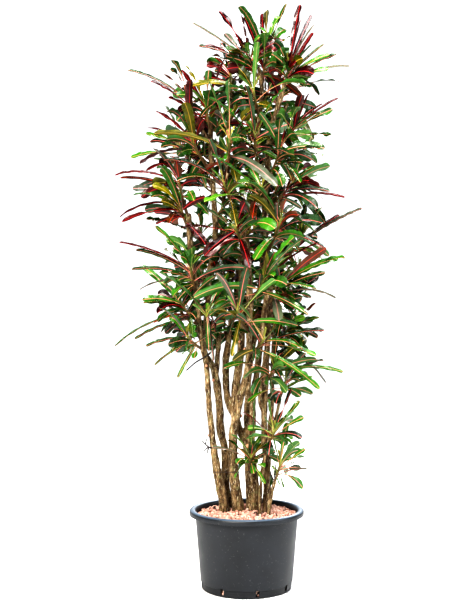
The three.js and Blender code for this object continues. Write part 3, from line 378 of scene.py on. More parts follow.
# %% Centre lines of the canes
# Each point is [x, y, z, radius] in millimetres.
canes = {
    "cane_left": [
        [
            [-70, 0, 246, 16], [-92, -5, 363, 13.5], [-106, -12, 461, 10.5], [-116, -18, 556, 9],
            [-120, -22, 615, 8.5], [-125, -28, 697, 8.5], [-137, -32, 756, 8.5], [-148, -34, 821, 8.5],
            [-154, -36, 899, 9], [-162, -40, 967, 9], [-175, -46, 1078, 9], [-180, -50, 1165, 9],
        ],
    ],
    "cane_rear_left": [
        [
            [-51, 38, 245, 12], [-65, 34, 306, 12], [-70, 32, 427, 12], [-81, 28, 481, 12],
            [-87, 25, 575, 12], [-101, 20, 672, 11], [-127, 16, 722, 9], [-135, 14, 763, 8.5],
            [-125, 12, 855, 9], [-118, 16, 930, 9], [-118, 18, 984, 9], [-101, 22, 1057, 9],
            [-98, 24, 1098, 9], [-100, 24, 1158, 9], [-106, 20, 1259, 8.5], [-113, 12, 1387, 8],
            [-113, 10, 1453, 8],
        ],
        [
            [-97, 22, 655, 9], [-93, 34, 712, 8], [-89, 52, 770, 8], [-83, 82, 850, 8], [-79, 108, 925, 8],
            [-84, 130, 987, 7.5], [-80, 150, 1080, 7.5], [-77, 164, 1190, 7], [-67, 166, 1328, 6],
        ],
    ],
    "cane_middle": [
        [
            [-26, -2, 246, 19], [-35, -3, 312, 17], [-43, -7, 398, 15], [-42, -12, 483, 13],
            [-30, -17, 545, 12.5], [-18, -22, 606, 12], [-2, -27, 655, 11], [4, -31, 706, 10],
            [7, -36, 775, 9.5], [9, -37, 845, 10], [9, -35, 920, 11], [5, -35, 990, 11],
            [-4, -40, 1104, 10.5],
        ],
        [
            [-2, -39, 1085, 9], [6, -42, 1141, 8.5], [10, -42, 1181, 8.5], [29, -34, 1272, 8],
            [34, -18, 1399, 8], [47, -8, 1538, 7.5], [45, -8, 1588, 7], [37, -10, 1628, 6.5],
        ],
        [
            [-3, -39, 1090, 8.5], [-20, -47, 1130, 8], [-38, -55, 1180, 7.5], [-52, -58, 1225, 7.5],
            [-59, -45, 1310, 7], [-55, -10, 1431, 6.5], [-46, 20, 1547, 6],
        ],
        [[1, -29, 668, 7.5], [21, -44, 692, 6]],
    ],
    "cane_fork": [
        [[20, 14, 250, 22], [18, 12, 310, 21], [14, 10, 370, 20], [10, 10, 432, 18]],
        [
            [12, 9, 412, 11.5], [17, 5, 474, 11], [19, 2, 538, 10.5], [20, -2, 601, 10], [32, -8, 674, 9.5],
            [40, -16, 745, 9.5], [48, -24, 800, 9.5], [58, -30, 865, 10], [62, -32, 899, 10],
            [70, -34, 926, 9.5],
        ],
        [
            [8, 11, 414, 11], [-17, 24, 479, 11], [-36, 38, 525, 11], [-54, 50, 565, 11],
            [-64, 58, 610, 11], [-67, 68, 691, 11], [-60, 78, 750, 10], [-48, 96, 828, 9],
            [-33, 114, 905, 8.5], [-26, 135, 997, 8], [-10, 150, 1096, 7.5], [9, 158, 1212, 7],
            [17, 158, 1344, 6.5], [12, 150, 1474, 6],
        ],
        [
            [-30, 34, 515, 9], [-38, 42, 575, 12], [-27, 48, 670, 13], [-19, 50, 735, 12],
            [-16, 52, 820, 10.5], [-18, 54, 905, 10], [-17, 55, 966, 9.5], [-11, 60, 1043, 9],
        ],
        [
            [10, 11, 420, 9], [1, 26, 481, 9], [1, 36, 544, 9], [4, 48, 610, 8.5], [12, 66, 690, 8.5],
            [27, 90, 780, 8], [41, 117, 899, 8], [52, 140, 1024, 7.5], [66, 156, 1140, 7],
        ],
    ],
    "cane_thin": [
        [
            [40, -47, 246, 5.5], [43, -48, 320, 5.5], [49, -49, 380, 5.5], [59, -49, 430, 5],
            [72, -47, 475, 5], [88, -42, 525, 5], [99, -36, 570, 4.6], [108, -30, 613, 4.4],
        ],
    ],
    "cane_right": [
        [
            [61, -18, 246, 12], [62, -20, 317, 11], [63, -22, 376, 10], [57, -22, 435, 10],
            [55, -22, 500, 9.5], [55, -20, 560, 9.5], [57, -18, 615, 9.5], [61, -14, 690, 9.5],
            [66, -4, 774, 9.5], [72, 6, 842, 9.5], [76, 12, 900, 9.5], [69, 16, 978, 9], [56, 13, 1041, 9],
            [52, 10, 1100, 9], [58, 4, 1213, 8.5], [64, 0, 1300, 8.5], [69, -2, 1370, 8.5],
            [75, -4, 1432, 8], [95, -6, 1494, 8], [118, -8, 1572, 7.5],
        ],
        [[55, -21, 536, 6.5], [42, -36, 585, 6], [43, -46, 635, 6], [52, -55, 695, 5.5], [57, -61, 739, 5]],
        [[68, -2, 1360, 6.5], [86, 14, 1419, 6.5], [106, 26, 1475, 6], [130, 32, 1521, 5.5]],
    ],
    "cane_low": [[[68, -52, 245, 5.5], [72, -52, 275, 5.5], [78, -51, 305, 5], [88, -50, 344, 5]]],
    "cane_rear_right": [
        [
            [71, 50, 245, 9], [70, 50, 325, 8.5], [71, 50, 421, 8], [76, 50, 500, 7.5], [82, 50, 567, 7],
            [82, 51, 640, 7], [85, 56, 715, 7], [90, 62, 790, 7.5], [101, 70, 880, 8], [111, 75, 970, 8],
            [112, 76, 1040, 8], [108, 76, 1120, 7.5], [109, 74, 1198, 7.5], [113, 72, 1252, 7],
        ],
    ],
}
print("canes:", len(canes), "with", sum(len(branches) for branches in canes.values()), "limbs")

# %% [markdown]
# ## Fired clay
# Clay granules come out of the kiln in many shades, from pale pink to a few nearly black ones, and each is
# full of pores. A stone of each shade could have its own material. One material reads a measure on each
# stone instead, its firing, and looks the shade up in a ramp. The bed under the stones reads a near-black
# value from the same ramp, as painted shade in the gaps between them.

# %% Fired clay
# Expanded clay, broken after firing: open pores painted darker as shade, a pale bloom that is partly dust and
# partly painted highlight, and no gloss at all.
fired_clay, tree, shader = start_material("fired_clay_granules", Roughness=0.95, IOR=1.5)
point = add_node(tree, "TexCoord", output="Object")
firing_and_bed_shade = add_node(tree, "Attribute", attribute_name="firing_and_bed_shade", output="Fac")
firings_seen = [
    (0.0, "#2b2a30"), (1.0, "#dfc3b2"), (0.05, "#54403a"),
    (0.08, "#ab7e6e"), (0.35, "#c19688"), (0.7, "#d0ad9f"),
]
colour = add_node(tree, "ValToRGB", {"Fac": firing_and_bed_shade}, stops=firings_seen)
# Pores and dust both follow a pattern 2.4 mm in size, the same that the bump raises. Where it sinks the pores
# are painted darker, as painted shade; where it rises the bloom is painted paler, partly dust and partly a
# painted highlight.
pores = add_node(tree, "TexNoise", {"Vector": point, "Scale": 1000 / 2.4, "Detail": 4.0, "Roughness": 0.7})
pore_shade = add_node(tree, "MapRange", span(pores, 0.46, 0.3, 0, 0.55), **step)
colour = add_node(tree, "Mix", {0: pore_shade, 6: colour, 7: "#7d4f40"}, **mix)
dust_and_highlight = add_node(tree, "MapRange", span(pores, 0.54, 0.7, 0, 0.35), **step)
colour = add_node(tree, "Mix", {0: dust_and_highlight, 6: colour, 7: "#f0dccb"}, **mix)
tree.links.new(colour, shader.inputs["Base Color"])
pitted = add_node(tree, "Bump", {"Height": pores, "Distance": 0.8 * mm, "Strength": 0.9})
tree.links.new(pitted, shader.inputs["Normal"])
print(fired_clay.name + ":", len(tree.nodes), "nodes")

# %% [markdown]
# ## The clay granules
# The canes stand in loose, light stones of 5 to 15 mm, heaped a little towards the middle. A particle system
# would scatter them as well. Here each stone is placed by its own draw, so that it can be kept off the canes
# and the wall, and a rough bed under them closes the gaps.

# %% Stone shapes
# Balls with dents in them, cut off where they reach past the broken flats.
draw = np.random.default_rng(11)
ball = bmesh.new()
bmesh.ops.create_icosphere(ball, subdivisions=2, radius=1)
ball_points = np.array([v.co for v in ball.verts])
ball_faces = np.array([[v.index for v in f.verts] for f in ball.faces])
ball.free()
shape_count, broken_flat = 16, 0.84
stone_shapes = []
for k in range(shape_count):
    dents = [noise.noise(Vector(p) * 1.15 + Vector((9 * k, 3, 1))) for p in ball_points]
    chipped = [noise.noise(Vector(p) * 3.1 + Vector((2, 7 * k, 1))) for p in ball_points]
    shape = ball_points * (1 + 0.62 * np.array(dents) + 0.25 * np.array(chipped))[:, None]
    stone_shapes.append(np.clip(shape, -broken_flat, broken_flat) * draw.uniform(0.75, 1.2, 3))
print("stone shapes:", shape_count, "of", len(ball_faces), "faces each")

# %% Where the stones lie
bed_rim, mound = 222, 14  # the granules' level at the wall, and how much higher they stand in the middle


def bed_height(x, y):
    """The level of the granules, with low waves in it."""
    outward = np.hypot(x, y) / wall_top
    return bed_rim + mound * (1 - outward * outward) + 1.5 * np.sin(x * 0.11 + 1.3) * np.cos(y * 0.09)


# A layer of stones in staggered rows, each moved a little from its place.
spots, spacing, row_share, stray = [], 7.8, 0.87, 2.2
for row in range(-24, 25):
    for column in range(-22, 23):
        x = spacing * (column + 0.5 * (row % 2)) + draw.uniform(-stray, stray)
        y = spacing * row_share * row + draw.uniform(-stray, stray)
        spots.append((x, y, bed_height(x, y) + draw.uniform(-2.5, 2.5), draw.uniform(3.6, 5.8)))
# Loose stones on top of the layer.
loose_stones, loose_reach = 460, 153
for k in range(loose_stones):
    angle, away = draw.uniform(0, 2 * math.pi), loose_reach * math.sqrt(draw.uniform())
    x, y = away * math.cos(angle), away * math.sin(angle)
    spots.append((x, y, bed_height(x, y) + draw.uniform(3, 6), draw.uniform(3.0, 5.4)))
cane_feet = [branches[0][0] for branches in canes.values()]
spots = [
    (x, y, z, size) for x, y, z, size in spots
    if math.hypot(x, y) + size * 0.95 < inside - 1.2
    and all(math.hypot(x - foot[0], y - foot[1]) > foot[3] + 0.7 * size for foot in cane_feet)
]
# Stones that show in the drain slots.
slot_levels, slot_away, slot_stone = (8, 12.5, 17.5, 22), 130, 5.6
for k in range(slots):
    for level in slot_levels:
        angle = math.radians(first_slot + slot_turn * k + draw.uniform(-1.6, 1.6))
        spots.append((slot_away * math.cos(angle), slot_away * math.sin(angle), level, slot_stone))
print("places for stones:", len(spots), "of which behind the slots:", slots * len(slot_levels))


# %% The stones, each turned any way round
def any_turn():
    """A rotation matrix, evenly drawn."""
    four = draw.normal(size=4)
    w, x, y, z = four / np.linalg.norm(four)
    return np.array([
        [1 - 2 * (y * y + z * z), 2 * (x * y - z * w), 2 * (x * z + y * w)],
        [2 * (x * y + z * w), 1 - 2 * (x * x + z * z), 2 * (y * z - x * w)],
        [2 * (x * z - y * w), 2 * (y * z + x * w), 1 - 2 * (x * x + y * y)],
    ])


stones, stone_faces, firings = [], [], []
for x, y, z, size in spots:
    stone_faces.append(ball_faces + len(ball_points) * len(stones))
    stones.append(stone_shapes[draw.integers(len(stone_shapes))] @ any_turn().T * size + (x, y, z))
    firings += [draw.uniform(0.01, 1)] * len(ball_points)
sizes = [np.ptp(stone, axis=0).max() for stone in stones]
print("stones:", round(min(sizes), 1), "to", round(max(sizes), 1), "mm across")

# %% The bed under the stones
# Its top follows the stones from below. Its side stands 1 mm inside the pot's skin, and further in behind
# the slots, where loose stones fill it.
sides, rings, bed_foot, bed_gap, slot_hollow = 64, 14, 5, 1, 9
around = 2 * math.pi * np.arange(sides) / sides
from_slot = np.abs((np.degrees(around) - first_slot + slot_turn / 2) % slot_turn - slot_turn / 2)
near_slot = from_slot < 5
bed = [(0, 0, bed_foot), (0, 0, bed_height(0, 0) - 3)]
for level in (bed_foot, 27, 120):
    away = inner_radius(level) - bed_gap - slot_hollow * near_slot * (level < 30)
    bed += [(r * math.cos(a), r * math.sin(a), level) for r, a in zip(away, around)]
for ring in range(rings, 0, -1):
    away = (inner_radius(215) - bed_gap) * ring / rings
    for angle in around:
        x, y = away * math.cos(angle), away * math.sin(angle)
        bed.append((x, y, bed_height(x, y) - 3.5 + draw.uniform(-1, 1)))
faces = []
for ring in range(rings + 2):
    for i in range(sides):
        a, b = 2 + ring * sides + i, 2 + ring * sides + (i + 1) % sides
        faces.append((a, b, b + sides, a + sides))
top = 2 + (rings + 2) * sides
for i in range(sides):
    j = (i + 1) % sides
    faces += [(0, 2 + j, 2 + i), (1, top + i, top + j)]
faces += [tuple(corner + len(bed) for corner in face) for group in stone_faces for face in group]
points = np.concatenate([np.array(bed)] + stones)
# The bed's firing of 0.03 gives it a near-black brown from the ramp: painted shade in the gaps between the
# stones.
new_piece(
    "clay_granule_bed", points * mm, faces, [fired_clay], ["clay_granules"], sharp=50,
    measures={"firing_and_bed_shade": [0.03] * len(bed) + firings},
)
print("granules:", len(stones), "stones,", len(faces), "faces")

# %% [markdown]
# ## Bark
# Old croton wood has thin bark, mottled in tan, brown and grey-green lichen, that cracks and flakes
# lengthwise. A photographed bark would do, but it would show a seam on a round cane. Patterns stretched
# along the wood have none, and run on through every fork.

# %% Bark
# Thin, dry bark: rough and without gloss, with cracks, chalky flakes and lichen. A pruned end is pale wood.
bark, tree, shader = start_material("mottled_croton_bark", Roughness=0.88, IOR=1.5)
point = add_node(tree, "TexCoord", output="Object")
fibre = add_node(tree, "Mapping", {"Vector": point, "Scale": (1, 1, 0.3)})
broad = add_node(tree, "TexNoise", {"Vector": fibre, "Scale": 1000 / 13, "Detail": 7.0, "Roughness": 0.72})
browns = [(0.32, "#20170e"), (0.68, "#bba789"), (0.43, "#513d27"), (0.51, "#746044"), (0.59, "#957e5d")]
colour = add_node(tree, "ValToRGB", {"Fac": broad}, stops=browns)
# Long cracks about 4.5 mm apart, painted dark where the bump sinks them into furrows: painted shade.
crack = add_node(tree, "TexNoise", {"Vector": fibre, "Scale": 1000 / 4.5, "Detail": 6.0, "Roughness": 0.7})
crack_shade = add_node(tree, "MapRange", span(crack, 0.49, 0.38, 0, 0.85), **step)
colour = add_node(tree, "Mix", {0: crack_shade, 6: colour, 7: "#2b1e12"}, **mix)
# Grey-green lichen in patches, and small chalky flakes.
lichen = add_node(tree, "TexNoise", {"Vector": point, "Scale": 1000 / 16, "Detail": 4.0, "Roughness": 0.65})
patch = add_node(tree, "MapRange", span(lichen, 0.55, 0.63, 0, 0.6), **step)
colour = add_node(tree, "Mix", {0: patch, 6: colour, 7: "#7f7c58"}, **mix)
flaking = add_node(tree, "TexNoise", {"Vector": fibre, "Scale": 1000 / 3.6, "Detail": 4.0, "Roughness": 0.6})
flake = add_node(tree, "MapRange", span(flaking, 0.58, 0.65, 0, 0.7), **step)
colour = add_node(tree, "Mix", {0: flake, 6: colour, 7: "#cfc4ab"}, **mix)
pruned = add_node(tree, "Attribute", attribute_name="pruned", output="Fac")
colour = add_node(tree, "Mix", {0: pruned, 6: colour, 7: "#d8a184"}, **mix)
tree.links.new(colour, shader.inputs["Base Color"])
swell = add_node(tree, "Math", {0: broad, 1: 0.8}, **times)
relief = add_node(tree, "Math", {0: crack, 1: swell}, **plus)
furrows = add_node(tree, "Bump", {"Height": relief, "Distance": 2.2 * mm, "Strength": 1.0})
tree.links.new(furrows, shader.inputs["Normal"])
print(bark.name + ":", len(tree.nodes), "nodes")

# %% [markdown]
# ## Sweeping
# Canes, twigs, stems and wire are all round and long. A curve with a bevel would sweep them, but the canes
# need plain meshes that can be melted together, and the stems need to know how far along each point is. So
# a smooth line is laid through the given points, and rings of corners are set along it.


# %% Smooth lines
def smooth_line(points, spacing):
    """[x, y, z, radius] points about a spacing apart, on a smooth line through the given ones."""
    known = np.array(points, float)
    known = np.concatenate([[2 * known[0] - known[1]], known, [2 * known[-1] - known[-2]]])
    line = []
    for a, b, c, d in zip(known, known[1:], known[2:], known[3:]):
        steps = max(2, int(math.dist(b[:3], c[:3]) / spacing))
        for t in np.arange(steps) / steps:
            bend = (2 * a - 5 * b + 4 * c - d) * t**2 + (3 * b - a - 3 * c + d) * t**3
            line.append(b + 0.5 * ((c - a) * t + bend))
    return np.array(line + [known[-2]])


print("left cane:", len(smooth_line(canes["cane_left"][0], 5)), "points 5 mm apart")


# %% Tubes round lines
def tube(line, sides, start=0, beside=(0, 1, 0)):
    """A closed tube round a line of [x, y, z, radius] points. Its faces count corners from start.

    Beside is any direction that the line never runs in.
    """
    centres, radii = line[:, :3], line[:, 3]
    along = np.gradient(centres, axis=0)
    along /= np.linalg.norm(along, axis=1)[:, None]
    across = np.cross(beside, along)
    across /= np.linalg.norm(across, axis=1)[:, None]
    angle = (2 * np.pi * np.arange(sides) / sides)[:, None]
    ring = across[:, None] * np.cos(angle) + np.cross(along, across)[:, None] * np.sin(angle)
    points = (centres[:, None] + ring * radii[:, None, None]).reshape(-1, 3)
    ends = centres[[0, -1]] + along[[0, -1]] * radii[[0, -1], None] * [[-0.3], [0.3]]
    low, top, faces = len(points), len(points) - sides, []
    for i in range(sides):
        j = (i + 1) % sides
        faces += [(r + i, r + j, r + j + sides, r + i + sides) for r in range(0, top, sides)]
        faces += [(low, j, i), (low + 1, top + i, top + j)]
    return np.concatenate([points, ends]), [tuple(corner + start for corner in face) for face in faces]


def tubes(lines, sides, beside=(0, 1, 0)):
    """The points and faces of tubes round several lines."""
    points, faces = np.empty((0, 3)), []
    for line in lines:
        tube_points, tube_faces = tube(line, sides, len(points), beside)
        points, faces = np.concatenate([points, tube_points]), faces + tube_faces
    return points, faces


# %% A place on a cane
def cane_at(name, branch, height):
    """The centre and radius of a cane's centre line at a height."""
    points = canes[name][branch]
    i = 1
    while i < len(points) - 1 and points[i][2] < height:
        i += 1
    before, after = np.array(points[i - 1], float), np.array(points[i], float)
    t = min(max((height - before[2]) / (after[2] - before[2]), 0), 1)
    mixed = before + (after - before) * t
    return mixed[:3], mixed[3]


print("left cane at 800 mm: centre and radius", *cane_at("cane_left", 0, 800))

# %% [markdown]
# ## The canes
# A fork in old wood has no seam: the bark runs from one limb into the next, over knots, leaf scars and the
# stubs of pruned twigs. Each cane's limbs and stubs are swept as plain tubes, and a voxel remesh melts them
# together, as a sculptor blends clay. Noise along the normals then raises ridges and knots, and a small bump
# with a dent makes each leaf scar. Sculpting by hand would look as good, but here a cut can be moved by
# changing one line.


# %% Melting
def melted(points, faces, cell):
    """The same body after a voxel remesh and some smoothing: its points, faces and outward directions."""
    mesh = bpy.data.meshes.new("rough")
    mesh.from_pydata([tuple(p) for p in points * mm], [], faces)
    rough = bpy.data.objects.new("rough", mesh)
    bpy.context.scene.collection.objects.link(rough)
    remesh = rough.modifiers.new("remesh", "REMESH")
    remesh.mode, remesh.voxel_size = "VOXEL", cell * mm
    smooth = rough.modifiers.new("smooth", "SMOOTH")
    smooth.factor, smooth.iterations = 0.5, 8
    ready = bpy.data.meshes.new_from_object(rough.evaluated_get(bpy.context.evaluated_depsgraph_get()))
    made = np.array([v.co for v in ready.vertices]) / mm
    outward = np.array([v.normal for v in ready.vertices])
    polygons = [tuple(p.vertices) for p in ready.polygons]
    bpy.data.objects.remove(rough)
    bpy.data.meshes.remove(mesh)
    bpy.data.meshes.remove(ready)
    return made, polygons, outward


# %% Where twigs were pruned
# Cane, limb, height, side in degrees, length and radius of each stub.
prunings = [
    ("cane_fork", 0, 436, 250, 10, 7), ("cane_fork", 1, 462, 300, 9, 5),
    ("cane_middle", 0, 530, 20, 9, 5.5), ("cane_middle", 0, 742, 190, 8, 5),
    ("cane_rear_left", 0, 640, 235, 8, 5), ("cane_left", 0, 470, 170, 7, 4.5),
    ("cane_left", 0, 690, 265, 7, 4), ("cane_right", 0, 470, 330, 8, 4.5),
    ("cane_right", 0, 640, 220, 7, 4.5), ("cane_rear_right", 0, 520, 20, 7, 4),
    ("cane_fork", 2, 560, 100, 8, 5), ("cane_fork", 3, 760, 250, 7, 5),
    ("cane_rear_left", 1, 900, 120, 7, 4), ("cane_fork", 4, 700, 80, 7, 4.5),
    ("cane_right", 0, 860, 290, 8, 4.5), ("cane_middle", 0, 1040, 250, 8, 5),
    ("cane_middle", 1, 1235, 300, 7, 4), ("cane_rear_left", 0, 1120, 250, 7, 4.5),
]
middle_stub = np.array([21, -44, 692, 7.5])  # the cut end of cane_middle's short limb
print("pruned twigs:", len(prunings))

# %% Limbs, cuts and leaf scars
draw = np.random.default_rng(23)
hole_depth, ring_spacing, stub_spacing = 72, 5, 3
scar_rings = 4  # a leaf scar at every fourth ring, so about every 20 mm, on any side
limbs, cuts, scars = {}, {name: [] for name in canes}, {name: [] for name in canes}
cuts["cane_middle"].append(middle_stub)
for name, branches in canes.items():
    x, y, z, radius = branches[0][0]
    limbs[name] = [smooth_line([[x, y, z - hole_depth, radius]] + branches[0], ring_spacing)]
    limbs[name] += [smooth_line(branch, ring_spacing) for branch in branches[1:]]
    for cane, branch, height, turn, length, thick in prunings:
        if cane == name:
            centre, radius = cane_at(cane, branch, height)
            out = np.array([math.cos(math.radians(turn)), math.sin(math.radians(turn)), 0.45])
            root, end = centre + out * radius * 0.5, centre + out * (radius + length * 0.6)
            stub = [[*root, thick * 1.25], [*(root + end) / 2, thick], [*end, thick * 0.9]]
            limbs[name].append(smooth_line(stub, stub_spacing))
            cuts[name].append(np.append(end, thick * 1.15))
    for line in limbs[name]:
        for place in range(scar_rings, len(line) - 2, scar_rings):
            turn = draw.uniform(0, 2 * math.pi)
            foot = line[place, :3] + line[place, 3] * np.array([math.cos(turn), math.sin(turn), 0])
            scars[name].append(np.append(foot, draw.uniform(2.8, 5.4)))
    print(name + ":", len(limbs[name]), "limbs and stubs,", len(scars[name]), "leaf scars")

# %% Canes
cane_sides, voxel = 16, 2.1  # the remesh works in cells of 2.1 mm
for number, name in enumerate(canes):
    made, polygons, outward = melted(*tubes(limbs[name], cane_sides), voxel)
    lift = np.zeros(len(made))
    for x, y, z, size in scars[name]:  # a low mound with a sunk middle, wider than high
        away = np.linalg.norm((made - (x, y, z)) / (1, 1, 0.7), axis=1) / size
        lift += size * (0.36 * np.exp(-(away**2)) - 0.22 * np.exp(-((2.2 * away) ** 2)))
    # Lumps about 22 mm wide stand 2 mm out. Ridges 5 mm wide stand 1 mm out and run along the wood.
    shift = Vector((31.0 * number, 7, 3))
    lumps = [noise.noise(Vector((x / 22, y / 22, z / 32)) + shift) for x, y, z in made]
    ridges = [noise.noise(Vector((x / 5, y / 5, z / 17)) + shift) for x, y, z in made]
    made += outward * (lift + 2.0 * np.array(lumps) + 1.0 * np.array(ridges) + 0.2)[:, None]
    cut = np.zeros(len(made))
    for x, y, z, size in cuts[name]:
        cut = np.maximum(cut, np.clip((size - np.linalg.norm(made - (x, y, z), axis=1)) / 1.5, 0, 1))
    new_piece(name + "_bark", made * mm, polygons, [bark], [name], sharp=80, measures={"pruned": cut})
    print(name + ":", len(polygons), "faces")

# %% [markdown]
# ## Dry twigs
# Shoots that die in the shade drop their leaves and stay on the canes as thin, dull stalks, darker than the
# bark. They could be melted into the canes, but they are too thin for the remesh to hold. So each is a plain
# tube that starts inside a cane, with a dark wood of its own.

# %% Dead wood
# Dried croton stalks: matt, and a dull slate brown that takes little light.
dead_wood, tree, shader = start_material("dry_croton_stalk", Roughness=0.8, IOR=1.5)
point = add_node(tree, "TexCoord", output="Object")
grain = add_node(tree, "TexNoise", {"Vector": point, "Scale": 1000 / 6})
colour = add_node(tree, "ValToRGB", {"Fac": grain}, stops=[(0.35, "#1d1918"), (0.65, "#3b3432")])
tree.links.new(colour, shader.inputs["Base Color"])
print(dead_wood.name + ":", len(tree.nodes), "nodes")

# %% Dry twigs and leafless stalks
# Each point is [x, y, z, radius] in millimetres.
dry_twigs = [
    [[-118, -24, 441, 2.2], [-126, -32, 437, 1.9], [-134, -38, 430, 1.4]],
    [[-106, -14, 436, 3.0], [-118, -24, 441, 2.4], [-130, -30, 452, 2.0], [-139, -34, 463, 1.5]],
    [[-118, -24, 441, 2.2], [-121, -30, 430, 1.9], [-124, -34, 416, 1.2]],
    [[-128, -29, 450, 1.9], [-126, -33, 461, 1.6], [-122, -36, 471, 1.2]],
    [[88, -50, 341, 2.7], [86, -56, 360, 2.2], [90, -62, 378, 2.0], [86, -66, 397, 1.5]],
    [[88, -50, 341, 2.7], [95, -54, 356, 2.2], [99, -60, 374, 1.6]],
    [[87, -48, 338, 2.7], [78, -52, 352, 2.2], [72, -56, 372, 1.5]],
    [[-152, -36, 889, 3.1], [-164, -44, 870, 2.2], [-182, -52, 842, 1.6]],
    [[-112, -18, 735, 3.1], [-130, -40, 722, 2.4], [-158, -52, 706, 1.9], [-186, -60, 682, 1.5]],
]
twig_spacing, twig_sides, twig_beside = 3, 7, (0.3, 0.2, 1)
points, faces = tubes([smooth_line(twig, twig_spacing) for twig in dry_twigs], twig_sides, twig_beside)
new_piece("dry_twigs", points * mm, faces, [dead_wood], [])
print("dry twigs:", len(dry_twigs), "with", len(faces), "faces")

# %% [markdown]
# ## The tie wire
# A grower's wire gathers four canes at knee height. It is one loop pulled tight, so its route is the convex
# outline round the canes, and its ends are twisted together in front. A curve with a bevel would also do. The
# loop is swept with the canes' own tube function, so that the twist can start on the same line.

# %% Coated wire
# Soft wire in a thin dark coat, worn through to a first bloom of rust here and there.
coated_wire, tree, shader = start_material("dark_coated_tie_wire", Roughness=0.5, IOR=1.5)
point = add_node(tree, "TexCoord", output="Object")
rust = add_node(tree, "TexNoise", {"Vector": point, "Scale": 1000 / 7})
colour = add_node(tree, "ValToRGB", {"Fac": rust}, stops=[(0.35, "#262626"), (0.65, "#4d3b30")])
tree.links.new(colour, shader.inputs["Base Color"])
print(coated_wire.name + ":", len(tree.nodes), "nodes")

# %% The loop's route
# Points are set round each cane, and the loop follows their convex outline.
wire_height, wire_radius, wire_gap, points_round = 362, 1.1, 0.9, 36
wire_front = (-18, -24)  # where the ends are twisted together
held = []
for name in ("cane_left", "cane_rear_left", "cane_middle", "cane_fork"):
    centre, radius = cane_at(name, 0, wire_height)
    away = radius + wire_radius + wire_gap
    for a in np.arange(points_round) * math.pi / (points_round / 2):
        held.append((centre[0] + away * math.cos(a), centre[1] + away * math.sin(a)))
route = []
for ordered in (sorted(held), sorted(held, reverse=True)):  # the front half of the outline, then the rear
    half = []
    for p in ordered:
        while len(half) > 1:
            a, b = half[-2], half[-1]
            if (b[0] - a[0]) * (p[1] - b[1]) - (b[1] - a[1]) * (p[0] - b[0]) > 0:
                break
            half.pop()
        half.append(p)
    route += half[:-1]
front = min(range(len(route)), key=lambda i: math.dist(route[i], wire_front))
route = route[front:] + route[:front] + [route[front]]
print("wire route:", len(route), "points")

# %% The wire and its twisted ends
# Both ends wind round each other, out and up from the front of the loop.
twist_points, twist_turn, twist_radius, twist_wire, wire_sides = 26, 11, 1.2, 1.0, 8  # 11 radians of twist
wires = [smooth_line([[x, y, wire_height, wire_radius] for x, y in route], 3)]
for side in (0, math.pi):
    ends = []
    for t in np.linspace(0, 1, twist_points):
        turn = side + twist_turn * t
        core = np.array([route[0][0] + 4 * t, route[0][1] - 1 - 9 * t, wire_height + 13 * t])
        ends.append([*(core + twist_radius * np.array([math.cos(turn), 0, math.sin(turn)])), twist_wire])
    wires.append(smooth_line(ends, 2))
points, faces = tubes(wires, wire_sides, beside=(0, 0, 1))
new_piece("twisted_tie_wire", points * mm, faces, [coated_wire], ["tie_wire"])
print("tie wire:", len(wires), "strands,", len(faces), "faces")

# %% [markdown]
# ## Where the leaves stand
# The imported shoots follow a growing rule: leaves spiral round each stem's end, upright when young and
# drooping when old, and each takes only space that is still free. The same rule with the same draws is
# repeated here, so that every fine leaf lies on its packed leaf. A second round then fills the crown with
# more leaves and side sprigs, which the faceted solids had no room for.

# %% Leaf forms and the crown
# A form is the half width along a leaf, both from 0 to 1. The crown is height, middle and reach in mm.
forms = {
    "strap": [[0, 0.05], [0.08, 0.14], [0.28, 0.82], [0.52, 1], [0.82, 0.74], [0.95, 0.34], [1, 0]],
    "spoon": [
        [0, 0.05], [0.1, 0.1], [0.46, 0.16], [0.6, 0.42], [0.74, 0.95], [0.88, 1], [0.97, 0.55], [1, 0],
    ],
    "interrupted": [
        [0, 0.05], [0.07, 0.12], [0.24, 0.86], [0.4, 0.82], [0.48, 0.12], [0.6, 0.1], [0.7, 0.8], [0.84, 1],
        [0.95, 0.6], [1, 0],
    ],
    "paddle": [[0, 0.08], [0.1, 0.16], [0.3, 0.5], [0.55, 0.86], [0.75, 1], [0.92, 0.85], [1, 0.4]],
}
crown = [
    [360, 60, 130], [560, 60, 140], [660, 30, 210], [760, -10, 285], [900, -25, 300], [1100, -25, 310],
    [1280, -50, 330], [1450, -30, 310], [1600, 10, 290], [1740, 45, 200], [1838, 40, 120],
]
crown_levels, crown_middles, crown_reaches = np.array(crown, float).T
print("leaf forms:", ", ".join(forms), "and a crown", 2 * crown_reaches.max(), "mm wide")

